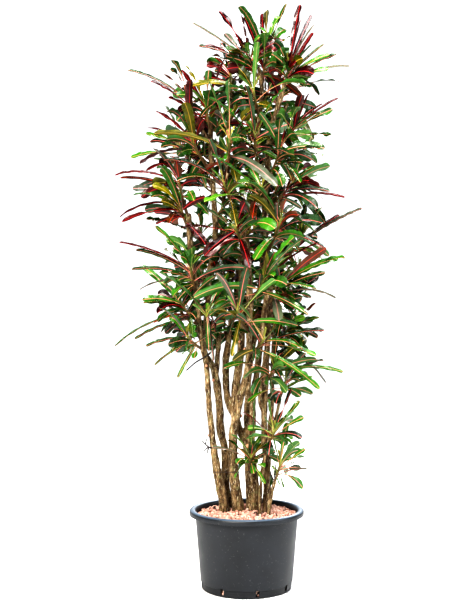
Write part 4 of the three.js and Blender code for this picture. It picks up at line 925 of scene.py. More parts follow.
# %% The leafy shoots
# Cane, limb, height, tip, number of leaves, their length and their mix of tones.
shoots = {
    "top_left": ["cane_middle", 1, 1585, [5, -22, 1655], 11, 150, "red"],
    "top_middle": ["cane_middle", 1, 1560, [62, 34, 1690], 8, 150, "red"],
    "top_right": ["cane_right", 0, 1545, [133, -14, 1630], 14, 150, "red"],
    "top_rear": ["cane_right", 2, 1480, [92, 92, 1580], 6, 160, "mixed"],
    "high_left": ["cane_middle", 2, 1515, [-50, 36, 1622], 6, 160, "red"],
    "high_front": ["cane_middle", 1, 1470, [20, -95, 1540], 6, 150, "mixed"],
    "upper_left_a": ["cane_rear_left", 0, 1425, [-128, -10, 1512], 7, 165, "red"],
    "upper_left_b": ["cane_rear_left", 0, 1395, [-188, 50, 1552], 6, 165, "red"],
    "upper_left_c": ["cane_rear_left", 0, 1300, [-176, -72, 1408], 6, 165, "red"],
    "upper_left_d": ["cane_rear_left", 0, 1270, [-212, 62, 1396], 6, 165, "red"],
    "upper_left_f": ["cane_left", 0, 1150, [-216, 8, 1288], 6, 170, "red"],
    "upper_left_g": ["cane_left", 0, 1110, [-208, -66, 1200], 7, 170, "red"],
    "upper_front_a": ["cane_middle", 2, 1290, [-52, -140, 1385], 6, 160, "mixed"],
    "upper_front_b": ["cane_middle", 2, 1185, [-70, -140, 1255], 6, 165, "mixed"],
    "upper_front_c": ["cane_middle", 1, 1320, [22, -130, 1400], 6, 160, "mixed"],
    "upper_front_d": ["cane_middle", 0, 1060, [-36, -160, 1120], 6, 170, "red"],
    "upper_front_e": ["cane_middle", 1, 1165, [44, -165, 1235], 6, 170, "mixed"],
    "upper_rear_a": ["cane_rear_left", 1, 1260, [-84, 130, 1440], 5, 170, "mixed"],
    "upper_rear_b": ["cane_fork", 2, 1400, [4, 190, 1500], 6, 170, "mixed"],
    "upper_rear_c": ["cane_fork", 2, 1270, [70, 190, 1385], 5, 170, "mixed"],
    "upper_rear_d": ["cane_rear_left", 1, 1225, [-140, 175, 1315], 5, 170, "green"],
    "upper_right_a": ["cane_right", 2, 1385, [158, 20, 1445], 10, 150, "green"],
    "upper_right_b": ["cane_right", 0, 1270, [104, -96, 1365], 6, 165, "mixed"],
    "upper_right_c": ["cane_rear_right", 0, 1225, [158, 110, 1330], 6, 165, "green"],
    "upper_right_d": ["cane_right", 0, 1180, [148, -32, 1272], 6, 165, "mixed"],
    "middle_right_a": ["cane_right", 0, 1040, [102, -128, 1140], 7, 170, "mixed"],
    "middle_right_b": ["cane_rear_right", 0, 1010, [176, 20, 1108], 6, 170, "green"],
    "middle_right_c": ["cane_rear_right", 0, 900, [172, 120, 1000], 6, 175, "green"],
    "middle_right_d": ["cane_fork", 1, 880, [108, -70, 950], 7, 160, "green"],
    "middle_rear_a": ["cane_fork", 4, 1080, [84, 210, 1180], 5, 175, "mixed"],
    "middle_rear_b": ["cane_rear_left", 1, 1010, [-150, 150, 1120], 5, 175, "green"],
    "middle_rear_c": ["cane_fork", 2, 1060, [-6, 215, 1130], 5, 175, "green"],
    "middle_rear_d": ["cane_rear_left", 1, 880, [-110, 180, 980], 6, 175, "green"],
    "middle_front_a": ["cane_middle", 0, 890, [50, -165, 965], 7, 165, "green"],
    "middle_front_b": ["cane_middle", 0, 800, [-30, -165, 872], 6, 150, "green"],
    "middle_left_a": ["cane_left", 0, 920, [-172, -92, 1002], 10, 150, "green"],
    "middle_left_b": ["cane_left", 0, 830, [-212, -24, 898], 6, 160, "green"],
    "middle_left_c": ["cane_rear_left", 0, 800, [-216, 60, 868], 6, 165, "green"],
    "lower_left": ["cane_left", 0, 745, [-186, -62, 790], 6, 140, "green"],
    "lower_front_left": ["cane_rear_left", 0, 900, [-122, -126, 850], 6, 150, "green"],
    "lower_front": ["cane_middle", 0, 735, [52, -138, 782], 7, 150, "green"],
    "lower_right_a": ["cane_rear_right", 0, 760, [140, 30, 815], 7, 155, "green"],
    "lower_right_b": ["cane_fork", 4, 790, [90, 140, 850], 6, 165, "green"],
    "lower_right_c": ["cane_right", 0, 640, [84, -72, 695], 6, 150, "green"],
    "lower_rear": ["cane_fork", 2, 760, [-80, 150, 850], 6, 160, "green"],
    "lower_right_d": ["cane_thin", 0, 596, [122, -26, 650], 6, 130, "green"],
    "low_shoot_a": ["cane_fork", 0, 385, [14, -58, 415], 9, 100, "fresh"],
    "low_shoot_b": ["cane_thin", 0, 455, [86, -78, 500], 6, 100, "fresh"],
    "low_shoot_c": ["cane_low", 0, 335, [104, -62, 402], 6, 95, "fresh"],
}
print("shoots:", len(shoots))

# %% Leaves that stand out in the outline
# Tip, width, form and tone of each, by shoot.
outer_leaves = {
    "top_left": [
        [[-80, 0, 1815], 26, "interrupted", "maroon"], [[-20, -40, 1785], 20, "strap", "maroon"],
        [[-170, -40, 1750], 12, "strap", "pale"], [[-70, 30, 1740], 22, "spoon", "pale"],
        [[-35, -60, 1720], 18, "strap", "rust"], [[-150, 0, 1705], 16, "strap", "olive"],
        [[-125, -50, 1695], 20, "strap", "maroon"], [[-120, -20, 1655], 18, "strap", "olive"],
    ],
    "top_middle": [
        [[125, 20, 1836], 18, "interrupted", "green"], [[50, 60, 1815], 18, "strap", "maroon"],
        [[0, 20, 1800], 18, "strap", "maroon"],
    ],
    "top_right": [
        [[165, -10, 1825], 22, "strap", "maroon"], [[205, 20, 1805], 14, "strap", "maroon"],
        [[165, -40, 1760], 20, "strap", "maroon"], [[200, -20, 1760], 10, "strap", "pale"],
        [[210, 10, 1740], 16, "strap", "maroon"], [[245, 10, 1700], 14, "strap", "green"],
        [[195, -40, 1695], 24, "spoon", "olive"], [[255, -20, 1670], 18, "strap", "green"],
        [[285, 20, 1670], 24, "spoon", "olive"], [[325, 0, 1640], 12, "strap", "pale"],
        [[255, -30, 1620], 20, "spoon", "green"],
    ],
    "upper_left_a": [
        [[-65, -40, 1645], 24, "strap", "maroon"], [[-200, -20, 1620], 20, "strap", "maroon"],
        [[-265, -20, 1610], 18, "spoon", "rust"], [[-300, 10, 1595], 20, "spoon", "maroon"],
    ],
    "upper_left_b": [
        [[-375, 30, 1635], 12, "strap", "olive"], [[-245, 0, 1535], 20, "strap", "maroon"],
    ],
    "upper_left_c": [
        [[-275, -90, 1480], 20, "strap", "maroon"], [[-305, -60, 1440], 12, "strap", "maroon"],
        [[-310, -80, 1405], 24, "spoon", "green"],
    ],
    "upper_left_d": [
        [[-315, 110, 1420], 18, "strap", "olive"], [[-370, 60, 1355], 22, "spoon", "green"],
        [[-320, 20, 1315], 18, "strap", "maroon"],
    ],
    "upper_left_f": [
        [[-415, -10, 1300], 16, "strap", "maroon"], [[-400, 30, 1285], 14, "strap", "rust"],
        [[-355, -30, 1245], 22, "spoon", "pale"],
    ],
    "upper_left_g": [
        [[-405, -20, 1170], 14, "strap", "maroon"], [[-385, -60, 1140], 22, "interrupted", "maroon"],
        [[-275, -110, 1125], 18, "strap", "maroon"], [[-125, -90, 1070], 26, "strap", "maroon"],
    ],
    "upper_front_d": [
        [[-115, -190, 1040], 26, "strap", "maroon"], [[5, -200, 1000], 24, "strap", "maroon"],
    ],
    "upper_right_a": [
        [[195, 10, 1550], 12, "strap", "maroon"], [[290, 30, 1540], 10, "strap", "maroon"],
        [[235, 0, 1520], 10, "strap", "maroon"], [[270, -10, 1495], 24, "spoon", "green"],
        [[225, -30, 1490], 16, "strap", "olive"], [[275, 20, 1410], 24, "spoon", "green"],
    ],
    "upper_right_b": [
        [[235, -120, 1360], 30, "strap", "green"], [[215, -140, 1355], 20, "spoon", "olive"],
        [[165, -150, 1310], 20, "strap", "green"],
    ],
    "upper_right_d": [
        [[210, -50, 1315], 18, "strap", "green"], [[255, -60, 1230], 22, "strap", "olive"],
        [[305, -20, 1215], 12, "strap", "maroon"],
    ],
    "middle_right_a": [[[230, -150, 1055], 20, "strap", "olive"]],
    "middle_right_b": [
        [[235, -40, 1185], 20, "strap", "green"], [[365, 0, 1180], 16, "strap", "pale"],
        [[295, 40, 1170], 14, "strap", "maroon"],
    ],
    "middle_right_d": [
        [[300, -80, 1035], 30, "strap", "green"], [[240, -90, 980], 20, "strap", "green"],
        [[280, -60, 915], 10, "strap", "pale"], [[195, -110, 915], 22, "spoon", "olive"],
    ],
    "middle_front_a": [
        [[205, -190, 1075], 10, "strap", "maroon"], [[205, -180, 930], 24, "spoon", "green"],
        [[180, -190, 855], 20, "strap", "green"],
    ],
    "middle_front_b": [[[-45, -150, 730], 16, "strap", "gold"]],
    "middle_left_a": [
        [[-270, -110, 1125], 20, "strap", "green"], [[-395, -30, 1070], 12, "strap", "maroon"],
        [[-345, -60, 1060], 16, "strap", "olive"], [[-235, -130, 1040], 26, "spoon", "green"],
        [[-355, -40, 990], 16, "strap", "olive"], [[-265, -110, 980], 24, "strap", "green"],
        [[-340, -20, 940], 12, "strap", "pale"], [[-210, -110, 900], 20, "strap", "green"],
    ],
    "middle_left_b": [
        [[-325, -30, 900], 24, "strap", "green"], [[-325, 10, 890], 18, "strap", "green"],
        [[-290, -50, 835], 8, "strap", "rust"],
    ],
    "middle_left_c": [
        [[-430, 60, 760], 12, "strap", "olive"], [[-355, 30, 775], 14, "strap", "olive"],
        [[-240, 20, 730], 18, "strap", "green"],
    ],
    "lower_left": [
        [[-310, -60, 755], 16, "strap", "olive"], [[-285, -90, 705], 10, "strap", "green"],
        [[-210, -100, 665], 10, "strap", "green"],
    ],
    "lower_front_left": [
        [[-115, -120, 745], 14, "strap", "green"], [[-100, -140, 715], 12, "strap", "pale"],
    ],
    "lower_front": [
        [[165, -180, 760], 20, "strap", "green"], [[205, -160, 730], 22, "spoon", "green"],
        [[220, -140, 635], 18, "strap", "green"],
    ],
    "lower_right_a": [
        [[220, 0, 885], 18, "strap", "rust"], [[225, -30, 845], 20, "interrupted", "green"],
        [[230, 60, 780], 18, "strap", "green"], [[260, 40, 640], 10, "strap", "pale"],
    ],
    "lower_right_c": [[[295, -80, 680], 16, "strap", "green"]],
    "lower_right_d": [
        [[70, -50, 705], 14, "strap", "pale"], [[205, -40, 660], 16, "strap", "fresh"],
    ],
    "low_shoot_a": [
        [[30, -90, 595], 12, "strap", "green"], [[-15, -90, 465], 16, "strap", "fresh"],
        [[55, -90, 465], 14, "strap", "green"], [[-60, -70, 465], 20, "spoon", "green"],
        [[-105, -60, 450], 12, "strap", "pale"], [[35, -100, 415], 16, "strap", "green"],
        [[-25, -80, 395], 16, "strap", "fresh"], [[20, -80, 370], 18, "strap", "green"],
    ],
    "low_shoot_b": [
        [[140, -70, 625], 20, "interrupted", "olive"], [[65, -90, 600], 20, "spoon", "fresh"],
        [[165, -50, 585], 16, "strap", "green"], [[-5, -100, 565], 10, "strap", "rust"],
        [[170, -80, 545], 20, "spoon", "green"],
    ],
    "low_shoot_c": [
        [[125, -70, 520], 20, "strap", "green"], [[80, -90, 480], 16, "strap", "green"],
        [[180, -60, 440], 20, "spoon", "green"], [[85, -100, 390], 14, "strap", "fresh"],
        [[190, -40, 375], 12, "strap", "pale"],
    ],
}
print("outline leaves:", sum(len(leaves) for leaves in outer_leaves.values()))

# %% How often each tone of leaf comes, by mix
tone_mixes = {
    "red": {
        "maroon": 0.26, "olive": 0.18, "rust": 0.05, "gold": 0.08, "green": 0.37, "fresh": 0.04, "pale": 0.02,
    },
    "mixed": {
        "maroon": 0.08, "olive": 0.23, "rust": 0.05, "gold": 0.08, "green": 0.46, "fresh": 0.07, "pale": 0.03,
    },
    "green": {
        "maroon": 0.02, "olive": 0.25, "rust": 0.03, "gold": 0.06, "green": 0.5, "fresh": 0.1, "pale": 0.04,
    },
    "fresh": {"fresh": 0.52, "green": 0.36, "olive": 0.06, "gold": 0.06},
}
print("mixes of tones:", ", ".join(tone_mixes))

# %% [markdown]
# ## Free space
# On the plant no leaf grows through another: each bends into the light that is left. Testing mesh against
# mesh would be exact and slow. So the space is cut into small cubic cells, and every limb and leaf claims
# the cells that it passes through. One grid also claims the cells beside them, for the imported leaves, which
# must keep apart. The later leaves may pass closer.

# %% Cells of 6 mm, and who owns them
cell, own_clear = 6, 45  # past 45 mm from its base, a leaf also keeps clear of its own shoot's leaves
free, several = -1, 0
corner_cell = np.array([-100, -100, -10])
near = np.full((200, 200, 345), free, np.int16)  # the owner of each cell at or beside a piece
exact = np.full_like(near, free)  # the owner of each cell that a piece passes through
outer_part = np.full_like(near, free)  # the same, for the leaves past their crowded bases
neighbours = np.array([(x, y, z) for x in (-1, 0, 1) for y in (-1, 0, 1) for z in (-1, 0, 1)])


def cells_at(points):
    """The grid index of each point, kept inside the grid."""
    index = np.floor(points / cell).astype(int) - corner_cell
    return tuple(np.clip(index, 1, np.array(near.shape) - 2).T)


def claim(points, owner):
    """Gives the cells of these points to an owner. A cell beside two owners is marked as several."""
    index = np.unique(np.array(cells_at(points)).T, axis=0)
    exact[tuple(index.T)] = owner
    around = tuple(np.unique((index[:, None] + neighbours).reshape(-1, 3), axis=0).T)
    near[around] = np.where((near[around] == free) | (near[around] == owner), owner, several)


def claim_limb(points, owner):
    """Claims the surface of a limb, from its [x, y, z, radius] points."""
    points = np.array(points, float)
    angle = (np.arange(8) * math.pi / 4)[:, None]
    for a, b in zip(points, points[1:]):
        along = (b - a)[:3] / math.dist(a[:3], b[:3])
        across = np.cross([0, 1, 0], along)
        across /= np.linalg.norm(across)
        ring = np.cos(angle) * across + np.sin(angle) * np.cross(along, across)
        steps = math.ceil(math.dist(a[:3], b[:3]) / 8)
        for t in np.arange(steps + 1) / steps:
            centre = a + (b - a) * t
            claim(centre[:3] + ring * centre[3], owner)


print("cells:", near.size, "of", cell, "mm")

# %% [markdown]
# ## The line of a leaf
# A leaf leaves its stem, arches and droops. One bend from base to tip holds that, with a control point
# above its middle, and the blade rolls and twists round it. A chain of bones could bend a flat leaf too. The
# line is wanted because the same few numbers place the leaf, test its space and shape its skin.


# %% The line and frame of a leaf
def unit(v):
    """Vectors of length 1 with the same directions."""
    return v / np.linalg.norm(v, axis=-1, keepdims=True)


def bend_point(start, control, end, t):
    """Points on a bend from start to end, drawn towards control."""
    t = np.asarray(t, float)[..., None]
    return (1 - t) ** 2 * start + 2 * t * (1 - t) * control + t * t * end


def make_leaf(base, tip, lift, look):
    """A leaf from base to tip. Its arch rises by the lift, as a share of its length."""
    control = (base + tip) / 2 + [0, 0, lift * math.dist(base, tip)]
    azimuth = math.atan2(tip[1] - base[1], tip[0] - base[0])
    return {"base": base, "control": control, "tip": tip, "azimuth": azimuth, **look}


def leaf_frame(leaf, places):
    """The midrib's points, and the sideways and upward directions, at places from 0 to 1 along a leaf."""
    t = np.asarray(places, float)[:, None]
    centre = bend_point(leaf["base"], leaf["control"], leaf["tip"], places)
    along = unit((1 - t) * (leaf["control"] - leaf["base"]) + t * (leaf["tip"] - leaf["control"]))
    level = np.array([-math.sin(leaf["azimuth"]), math.cos(leaf["azimuth"]), 0])
    side = unit(level - along * (along @ level)[:, None])
    turn = leaf["roll"] + leaf["twist"] * t
    side = side * np.cos(turn) + np.cross(along, side) * np.sin(turn)
    return centre, side, unit(np.cross(along, side))


def leaf_length(leaf):
    """A little more than the length along the bend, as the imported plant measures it."""
    return math.dist(leaf["base"], leaf["control"]) + math.dist(leaf["control"], leaf["tip"])


# %% Whether a leaf fits
def leaf_samples(leaf):
    """Points all over a leaf, and how far each is from the leaf's base."""
    length = leaf_length(leaf)
    steps = math.ceil(length / cell)
    places = np.arange(1, steps + 1) / steps
    centre, side, _ = leaf_frame(leaf, places)
    outline = np.array(forms[leaf["form"]])
    reach = np.maximum(1.7, leaf["width"] / 2 * np.interp(places, outline[:, 0], outline[:, 1]))
    shares = np.array([-1, -0.5, 0, 0.5, 1])
    points = centre[:, None] + side[:, None] * (reach[:, None] * shares)[..., None]
    used = (np.abs(shares) != 0.5)[None] | (reach > 7)[:, None]
    return points[used], np.broadcast_to((places * length)[:, None], used.shape)[used]


def leaf_fits(leaf, shoot, tight=False):
    """Whether a leaf is clear of the others. A tight fit may pass close by, and touch them near its stem."""
    points, away = leaf_samples(leaf)
    index = cells_at(points)
    held = (exact if tight else near)[index]
    clear = (held == free) | (held == shoot["owner"]) | (tight & (away < 16))
    crosses = (away > own_clear) & (outer_part[index] == shoot["owner"])
    return bool(np.all(clear & ~crosses))


def keep_leaf(leaf, shoot):
    """Adds a leaf to its shoot and claims its space. Where no leaf was found, nothing is added."""
    if leaf is not None:
        points, away = leaf_samples(leaf)
        claim(points, shoot["owner"])
        outer_part[cells_at(points[away > own_clear])] = shoot["owner"]
        shoot["placed"].append(leaf)


# %% [markdown]
# ## Shoots
# Each leafy shoot is a thin green stem that leaves its cane, dips, and rises to a bud. Its leaves start near
# its end, one after the other. Shoots could be drawn by hand as curves. Here each is one row of the table
# above, and its own source of numbers gives every leaf its turn and size, the same in every run.


# %% A source of numbers
def seeded(seed):
    """A source of numbers from 0 to 1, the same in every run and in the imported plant."""
    state = seed

    def draw():
        nonlocal state
        state = (state + 0x6D2B79F5) & 0xFFFFFFFF
        t = ((state ^ (state >> 15)) * (state | 1)) & 0xFFFFFFFF
        t ^= (t + (t ^ (t >> 7)) * (t | 61)) & 0xFFFFFFFF
        return (t ^ (t >> 14)) / 4294967296

    return draw


print("first number of seed 71:", round(seeded(71)(), 3))


# %% Shoots and where their leaves start
def describe_shoot(name, order):
    """A shoot's line, its leaves and the slots of its outline leaves."""
    cane, branch, height, tip, leaves, size, tones = shoots[name]
    start, radius = cane_at(cane, branch, height)
    tip = np.array(tip, float)
    reach = math.dist(tip, start)
    outer = outer_leaves.get(name, [])
    random = seeded(977 + 31 * order)
    return {
        "name": name, "start": start, "control": (start + tip) / 2 - [0, 0, 0.14 * reach], "tip": tip,
        "reach": reach, "cane_radius": radius, "thick": min(radius * 0.7, 3.6 + reach * 0.012), "placed": [],
        "leaves": leaves, "size": size, "tones": tones, "owner": 100 + order, "outer": outer,
        "outer_slots": [int((i + 0.5) * leaves / len(outer)) for i in range(len(outer))],
        "random": random, "turn": 2 * math.pi * random(),
    }


def stem_line(shoot, places):
    """[x, y, z, radius] points of a stem, which thins towards its bud."""
    centres = bend_point(shoot["start"], shoot["control"], shoot["tip"], places)
    end = min(3.4, shoot["thick"])
    return np.column_stack([centres, shoot["thick"] + (end - shoot["thick"]) * np.asarray(places)])


def leaf_base(shoot, slot):
    """Where a leaf starts on its stem: the first slot lies 5 mm under the bud, the last at most 85 mm."""
    back = 5 + slot / shoot["leaves"] * min(shoot["reach"] * 0.62, 80)
    return bend_point(shoot["start"], shoot["control"], shoot["tip"], 1 - min(back / shoot["reach"], 0.8))


# %% Space for the canes and stems
# Every cane, and then every stem, claims its space before the first leaf.
for order, branches in enumerate(canes.values()):
    for branch in branches:
        claim_limb(branch, order + 1)
grown = [describe_shoot(name, order) for order, name in enumerate(shoots)]
for shoot in grown:
    claim_limb(stem_line(shoot, np.arange(4) / 3), shoot["owner"])
print("owned cells:", np.count_nonzero(exact != free))

# %% [markdown]
# ## The growing rule
# The leaves of the outline are placed first, each by its own tip. The others follow by the rule: each turns
# a golden angle on from the last, as on most plants, and the older it is, the more it droops. A leaf that
# would hit another tries again a little further round. A scatter of leaf copies would be quicker, but its
# leaves would cross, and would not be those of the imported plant.


# %% Leaves of the outline
def outline_leaf(shoot, slot, spec):
    """A leaf that stands out in the outline, moved in depth until it is clear of the others.

    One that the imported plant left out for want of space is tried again, closer, and comes late.
    """
    (x, y, z), width, form, tone = spec
    base = leaf_base(shoot, slot)
    facing = float(np.sign(x - base[0])) or 1.0
    roll = facing * (0.75 + 0.4 * (shoot["random"]() - 0.5))
    twist = 0.5 * (shoot["random"]() - 0.5)
    look = {"width": width, "form": form, "tone": tone, "roll": roll, "twist": twist}
    steep = abs(z - base[2]) / math.dist((x, y, z), base)
    for late in (False, True):
        for shift in (0, -12, 12, -24, 24, -36, 36, -50, 50, -65, 65, -80, 80):
            leaf = make_leaf(base, np.array([x, y + shift, z], float), 0.18 - 0.14 * steep, look)
            if leaf_fits(leaf, shoot, tight=late):
                return leaf, late
    return None, False


# %% Limits of the later round
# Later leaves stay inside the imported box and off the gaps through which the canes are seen.
box_margin = 6
box_low, box_high = low_corner / mm + box_margin, high_corner / mm - box_margin
# Each gap, seen from the front, is x from and to, then height from and to.
cane_windows = np.array([
    [23, 52, 1540, 1634], [86, 127, 1492, 1580], [-124, -99, 1238, 1474], [-196, -165, 1081, 1172],
    [-115, -84, 1122, 1238], [-115, -74, 836, 990], [-33, 17, 880, 1000], [-33, 17, 751, 830],
    [33, 80, 711, 924], [-149, -109, 711, 990], [36, 73, 1188, 1320], [-68, -33, 1122, 1204],
])
window_depth = 20  # leaves further back than this are behind the canes


def hides_cane(points):
    """Whether any of the points would cover one of those gaps."""
    x, y, z = points.T[:, :, None]
    left, right, low, high = cane_windows.T
    return bool(np.any((x > left) & (x < right) & (z > low) & (z < high) & (y < window_depth)))


def inside_crown(point, share):
    """Whether a point lies within a share of the crown's reach at its height."""
    reach = share * np.interp(point[2], crown_levels, crown_reaches)
    middle = np.interp(point[2], crown_levels, crown_middles)
    return (point[0] - middle) ** 2 + point[1] ** 2 <= reach**2 and point[2] <= crown_levels[-1]


print("gaps through which the canes are seen:", len(cane_windows))

# %% Turns, tries and forms of the spiral
golden_angle = 2.399963  # radians
top_shoots = 1590  # shoots above this height make the dense tip of the crown
attempts, turn_on, shrink = 14, 0.62, 0.03  # a new try turns on by 0.62 radians and is 3 % shorter
young_pitch, droop = 1.05, 1.55  # radians: how steeply the youngest leaf rises, and how far the oldest falls
packed_forms = {"strap": 0.72, "spoon": 0.18, "interrupted": 0.1}
later_forms = {"paddle": 0.44, "strap": 0.18, "spoon": 0.31, "interrupted": 0.07}


def pick(shares, draw):
    """The name that a draw from 0 to 1 falls on, where each name takes its share of that length."""
    for name, share in shares.items():
        draw -= share
        if draw < 0:
            return name
    return name


def reach_out(base, azimuth, pitch, length):
    """The tip of a leaf that runs straight from its base."""
    level = length * math.cos(pitch)
    return base + [level * math.cos(azimuth), level * math.sin(azimuth), length * math.sin(pitch)]


# %% A leaf of the spiral
def spiral_leaf(shoot, slot, later=None):
    """A leaf placed by the rule. In the later round leaves are shorter, more bent, and most are wide."""
    random = later or shoot["random"]
    age = (slot + 0.5) / shoot["leaves"]
    size = shoot["size"] * (0.62 + 0.75 * math.sin(math.pi * (0.18 + 0.62 * age)) * (0.8 + 0.4 * random()))
    look = {"form": pick(later_forms if later else packed_forms, random()), "width": 17 + 13 * random()}
    look.update(roll=2.2 * (random() - 0.5), twist=1.6 * (random() - 0.5))
    arch, crown_share = 0.16, 1
    if later:
        arch, crown_share = 0.34, 1.12 if shoot["tip"][2] > top_shoots else 0.96
        size *= 0.42 + 0.4 * random()
        look["roll"] += math.copysign(0.45, look["roll"])
        if look["form"] == "strap":
            look["width"] *= 0.85
        else:
            size, look["width"] = 0.82 * size, 1.34 * look["width"]
        if shoot["tones"] == "fresh":  # the low shoots bear long leaves for their size
            size, look["width"] = 1.7 * size, 0.72 * look["width"]
    base = leaf_base(shoot, slot)
    for attempt in range(attempts):
        azimuth = shoot["turn"] + golden_angle * slot + turn_on * attempt + 0.5 * (random() - 0.5)
        pitch = young_pitch - droop * age + 0.7 * (random() - 0.5)
        tip = reach_out(base, azimuth, pitch, size * (1 - shrink * attempt))
        leaf = make_leaf(base, tip, 0.1 + arch * random(), look)
        within = inside_crown(tip, crown_share)
        if later:
            within = within and np.all(leaf["control"] > box_low) and np.all(leaf["control"] < box_high)
            within = within and not hides_cane(leaf_samples(leaf)[0])
        if within and leaf_fits(leaf, shoot, tight=bool(later)):
            return leaf
    return None


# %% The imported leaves
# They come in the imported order: first those of the outline, then those of the spiral.
late_leaves = []
for shoot in grown:
    for slot, spec in zip(shoot["outer_slots"], shoot["outer"]):
        leaf, late = outline_leaf(shoot, slot, spec)
        if late:
            late_leaves.append((leaf, shoot))
        else:
            keep_leaf(leaf, shoot)
for shoot in grown:
    for slot in range(shoot["leaves"]):
        if slot not in shoot["outer_slots"]:
            keep_leaf(spiral_leaf(shoot, slot), shoot)
packed = sum(len(shoot["placed"]) for shoot in grown)
print("packed leaves:", packed, "and", len(late_leaves), "late leaves of the outline")
assert packed == 304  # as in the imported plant
tone_draw = seeded(71)
for shoot in grown:
    for leaf in shoot["placed"]:
        leaf.setdefault("tone", pick(tone_mixes[shoot["tones"]], tone_draw()))

# %% [markdown]
# ## The later round
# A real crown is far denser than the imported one: every bud holds small upright leaves, and the canes bear
# short sprigs between the main shoots. More leaves could be copies set behind the first ones. They are grown
# by the same rule instead, so that they fill only what is free, leave the canes in sight from the front, and
# stay inside the plant's box.

# %% Late leaves, bud leaves and more leaves on every shoot
for leaf, shoot in late_leaves:
    keep_leaf(leaf, shoot)
bud_leaves, bud_yellow = 6, 4  # the youngest four of a bud's six leaves are yellow
front_depth, front_extra, other_extra, top_extra = -90, 3, 8, 14
for shoot in grown:
    later = seeded(40009 + 17 * shoot["owner"])
    for k in range(bud_leaves):  # from the middle of the bud outwards: longer, wider and less upright
        azimuth, pitch = shoot["turn"] + golden_angle * k, 1.45 - 0.17 * k
        length, width = 20 + 9 * k + 6 * later(), 5 + 1.6 * k
        base = bend_point(shoot["start"], shoot["control"], shoot["tip"], 1 - 0.7 * k / shoot["reach"])
        tip = reach_out(base, azimuth, pitch, length)
        tone = "bud" if k < bud_yellow else "fresh"
        look = {"form": "paddle", "tone": tone, "width": width, "roll": 0.0, "twist": 0.3}
        leaf = make_leaf(base, tip, 0.05, look)
        if leaf_fits(leaf, shoot, tight=True):
            shoot["placed"].append(leaf)
    # Shoots in front get fewer leaves, so that the canes stay in sight.
    extra = shoot["leaves"] + (front_extra if shoot["tip"][1] < front_depth else other_extra)
    extra += top_extra if shoot["tip"][2] > top_shoots else 0
    for k in range(extra):
        leaf = spiral_leaf(shoot, (k + 0.5) * shoot["leaves"] / extra, later)
        if leaf:
            leaf["tone"] = pick(tone_mixes[shoot["tones"]], later())
            keep_leaf(leaf, shoot)
print("leaves on the shoots:", sum(len(shoot["placed"]) for shoot in grown))

# %% Side sprigs on the canes
# Short stems with six leaves at most, from a height of 790 mm and every 62 to 102 mm.
sprig_draw = seeded(5501)
sprig_foot, sprig_gap, sprig_stray = 790, 62, 40
sprig_leaves, sprig_size, sprig_thick = 6, 95, 2.6
for name, branches in canes.items():
    for branch_number, branch in enumerate(branches):
        height = max(branch[0][2] + 20, sprig_foot)
        while height < branch[-1][2] - 10:
            centre, radius = cane_at(name, branch_number, height)
            turn = 2 * math.pi * sprig_draw()
            out = np.array([math.cos(turn), math.sin(turn), 0])
            tip = centre + out * (radius + 12 + 14 * sprig_draw()) + [0, 0, 16 + 14 * sprig_draw()]
            sprig = {
                "cane": name, "start": centre, "control": (centre + tip) / 2 - [0, 0, 4], "tip": tip,
                "reach": math.dist(centre, tip), "cane_radius": radius, "thick": sprig_thick, "turn": turn,
                "leaves": sprig_leaves, "size": sprig_size, "owner": 200 + len(grown), "placed": [],
                "tones": "green" if height < 1150 else "mixed",
            }
            for slot in range(sprig_leaves):
                leaf = spiral_leaf(sprig, slot, sprig_draw)
                if leaf:
                    leaf["tone"] = pick(tone_mixes[sprig["tones"]], sprig_draw())
                    keep_leaf(leaf, sprig)
            if sprig["placed"]:
                grown.append(sprig)
            height += sprig_gap + sprig_stray * sprig_draw()
print("leaves in all:", sum(len(shoot["placed"]) for shoot in grown), "on", len(grown), "shoots and sprigs")

# %% [markdown]
# ## Leaf materials
# A croton leaf is leathery and polished: its upper side throws back the lamps in long streaks, so even the
# maroon leaves read as shiny. The rib is the brightest line, red on dark leaves, salmon on green ones and
# yellow on the youngest. Every leaf mesh carries four measures (how far a point is from the rib, how far
# along, the leaf's own tint, and which side it is on), so that one recipe makes all eight tones.

# %% Leaf recipe
measure_names = ("leaf_side_mm", "leaf_along_mm", "leaf_tint", "leaf_under")


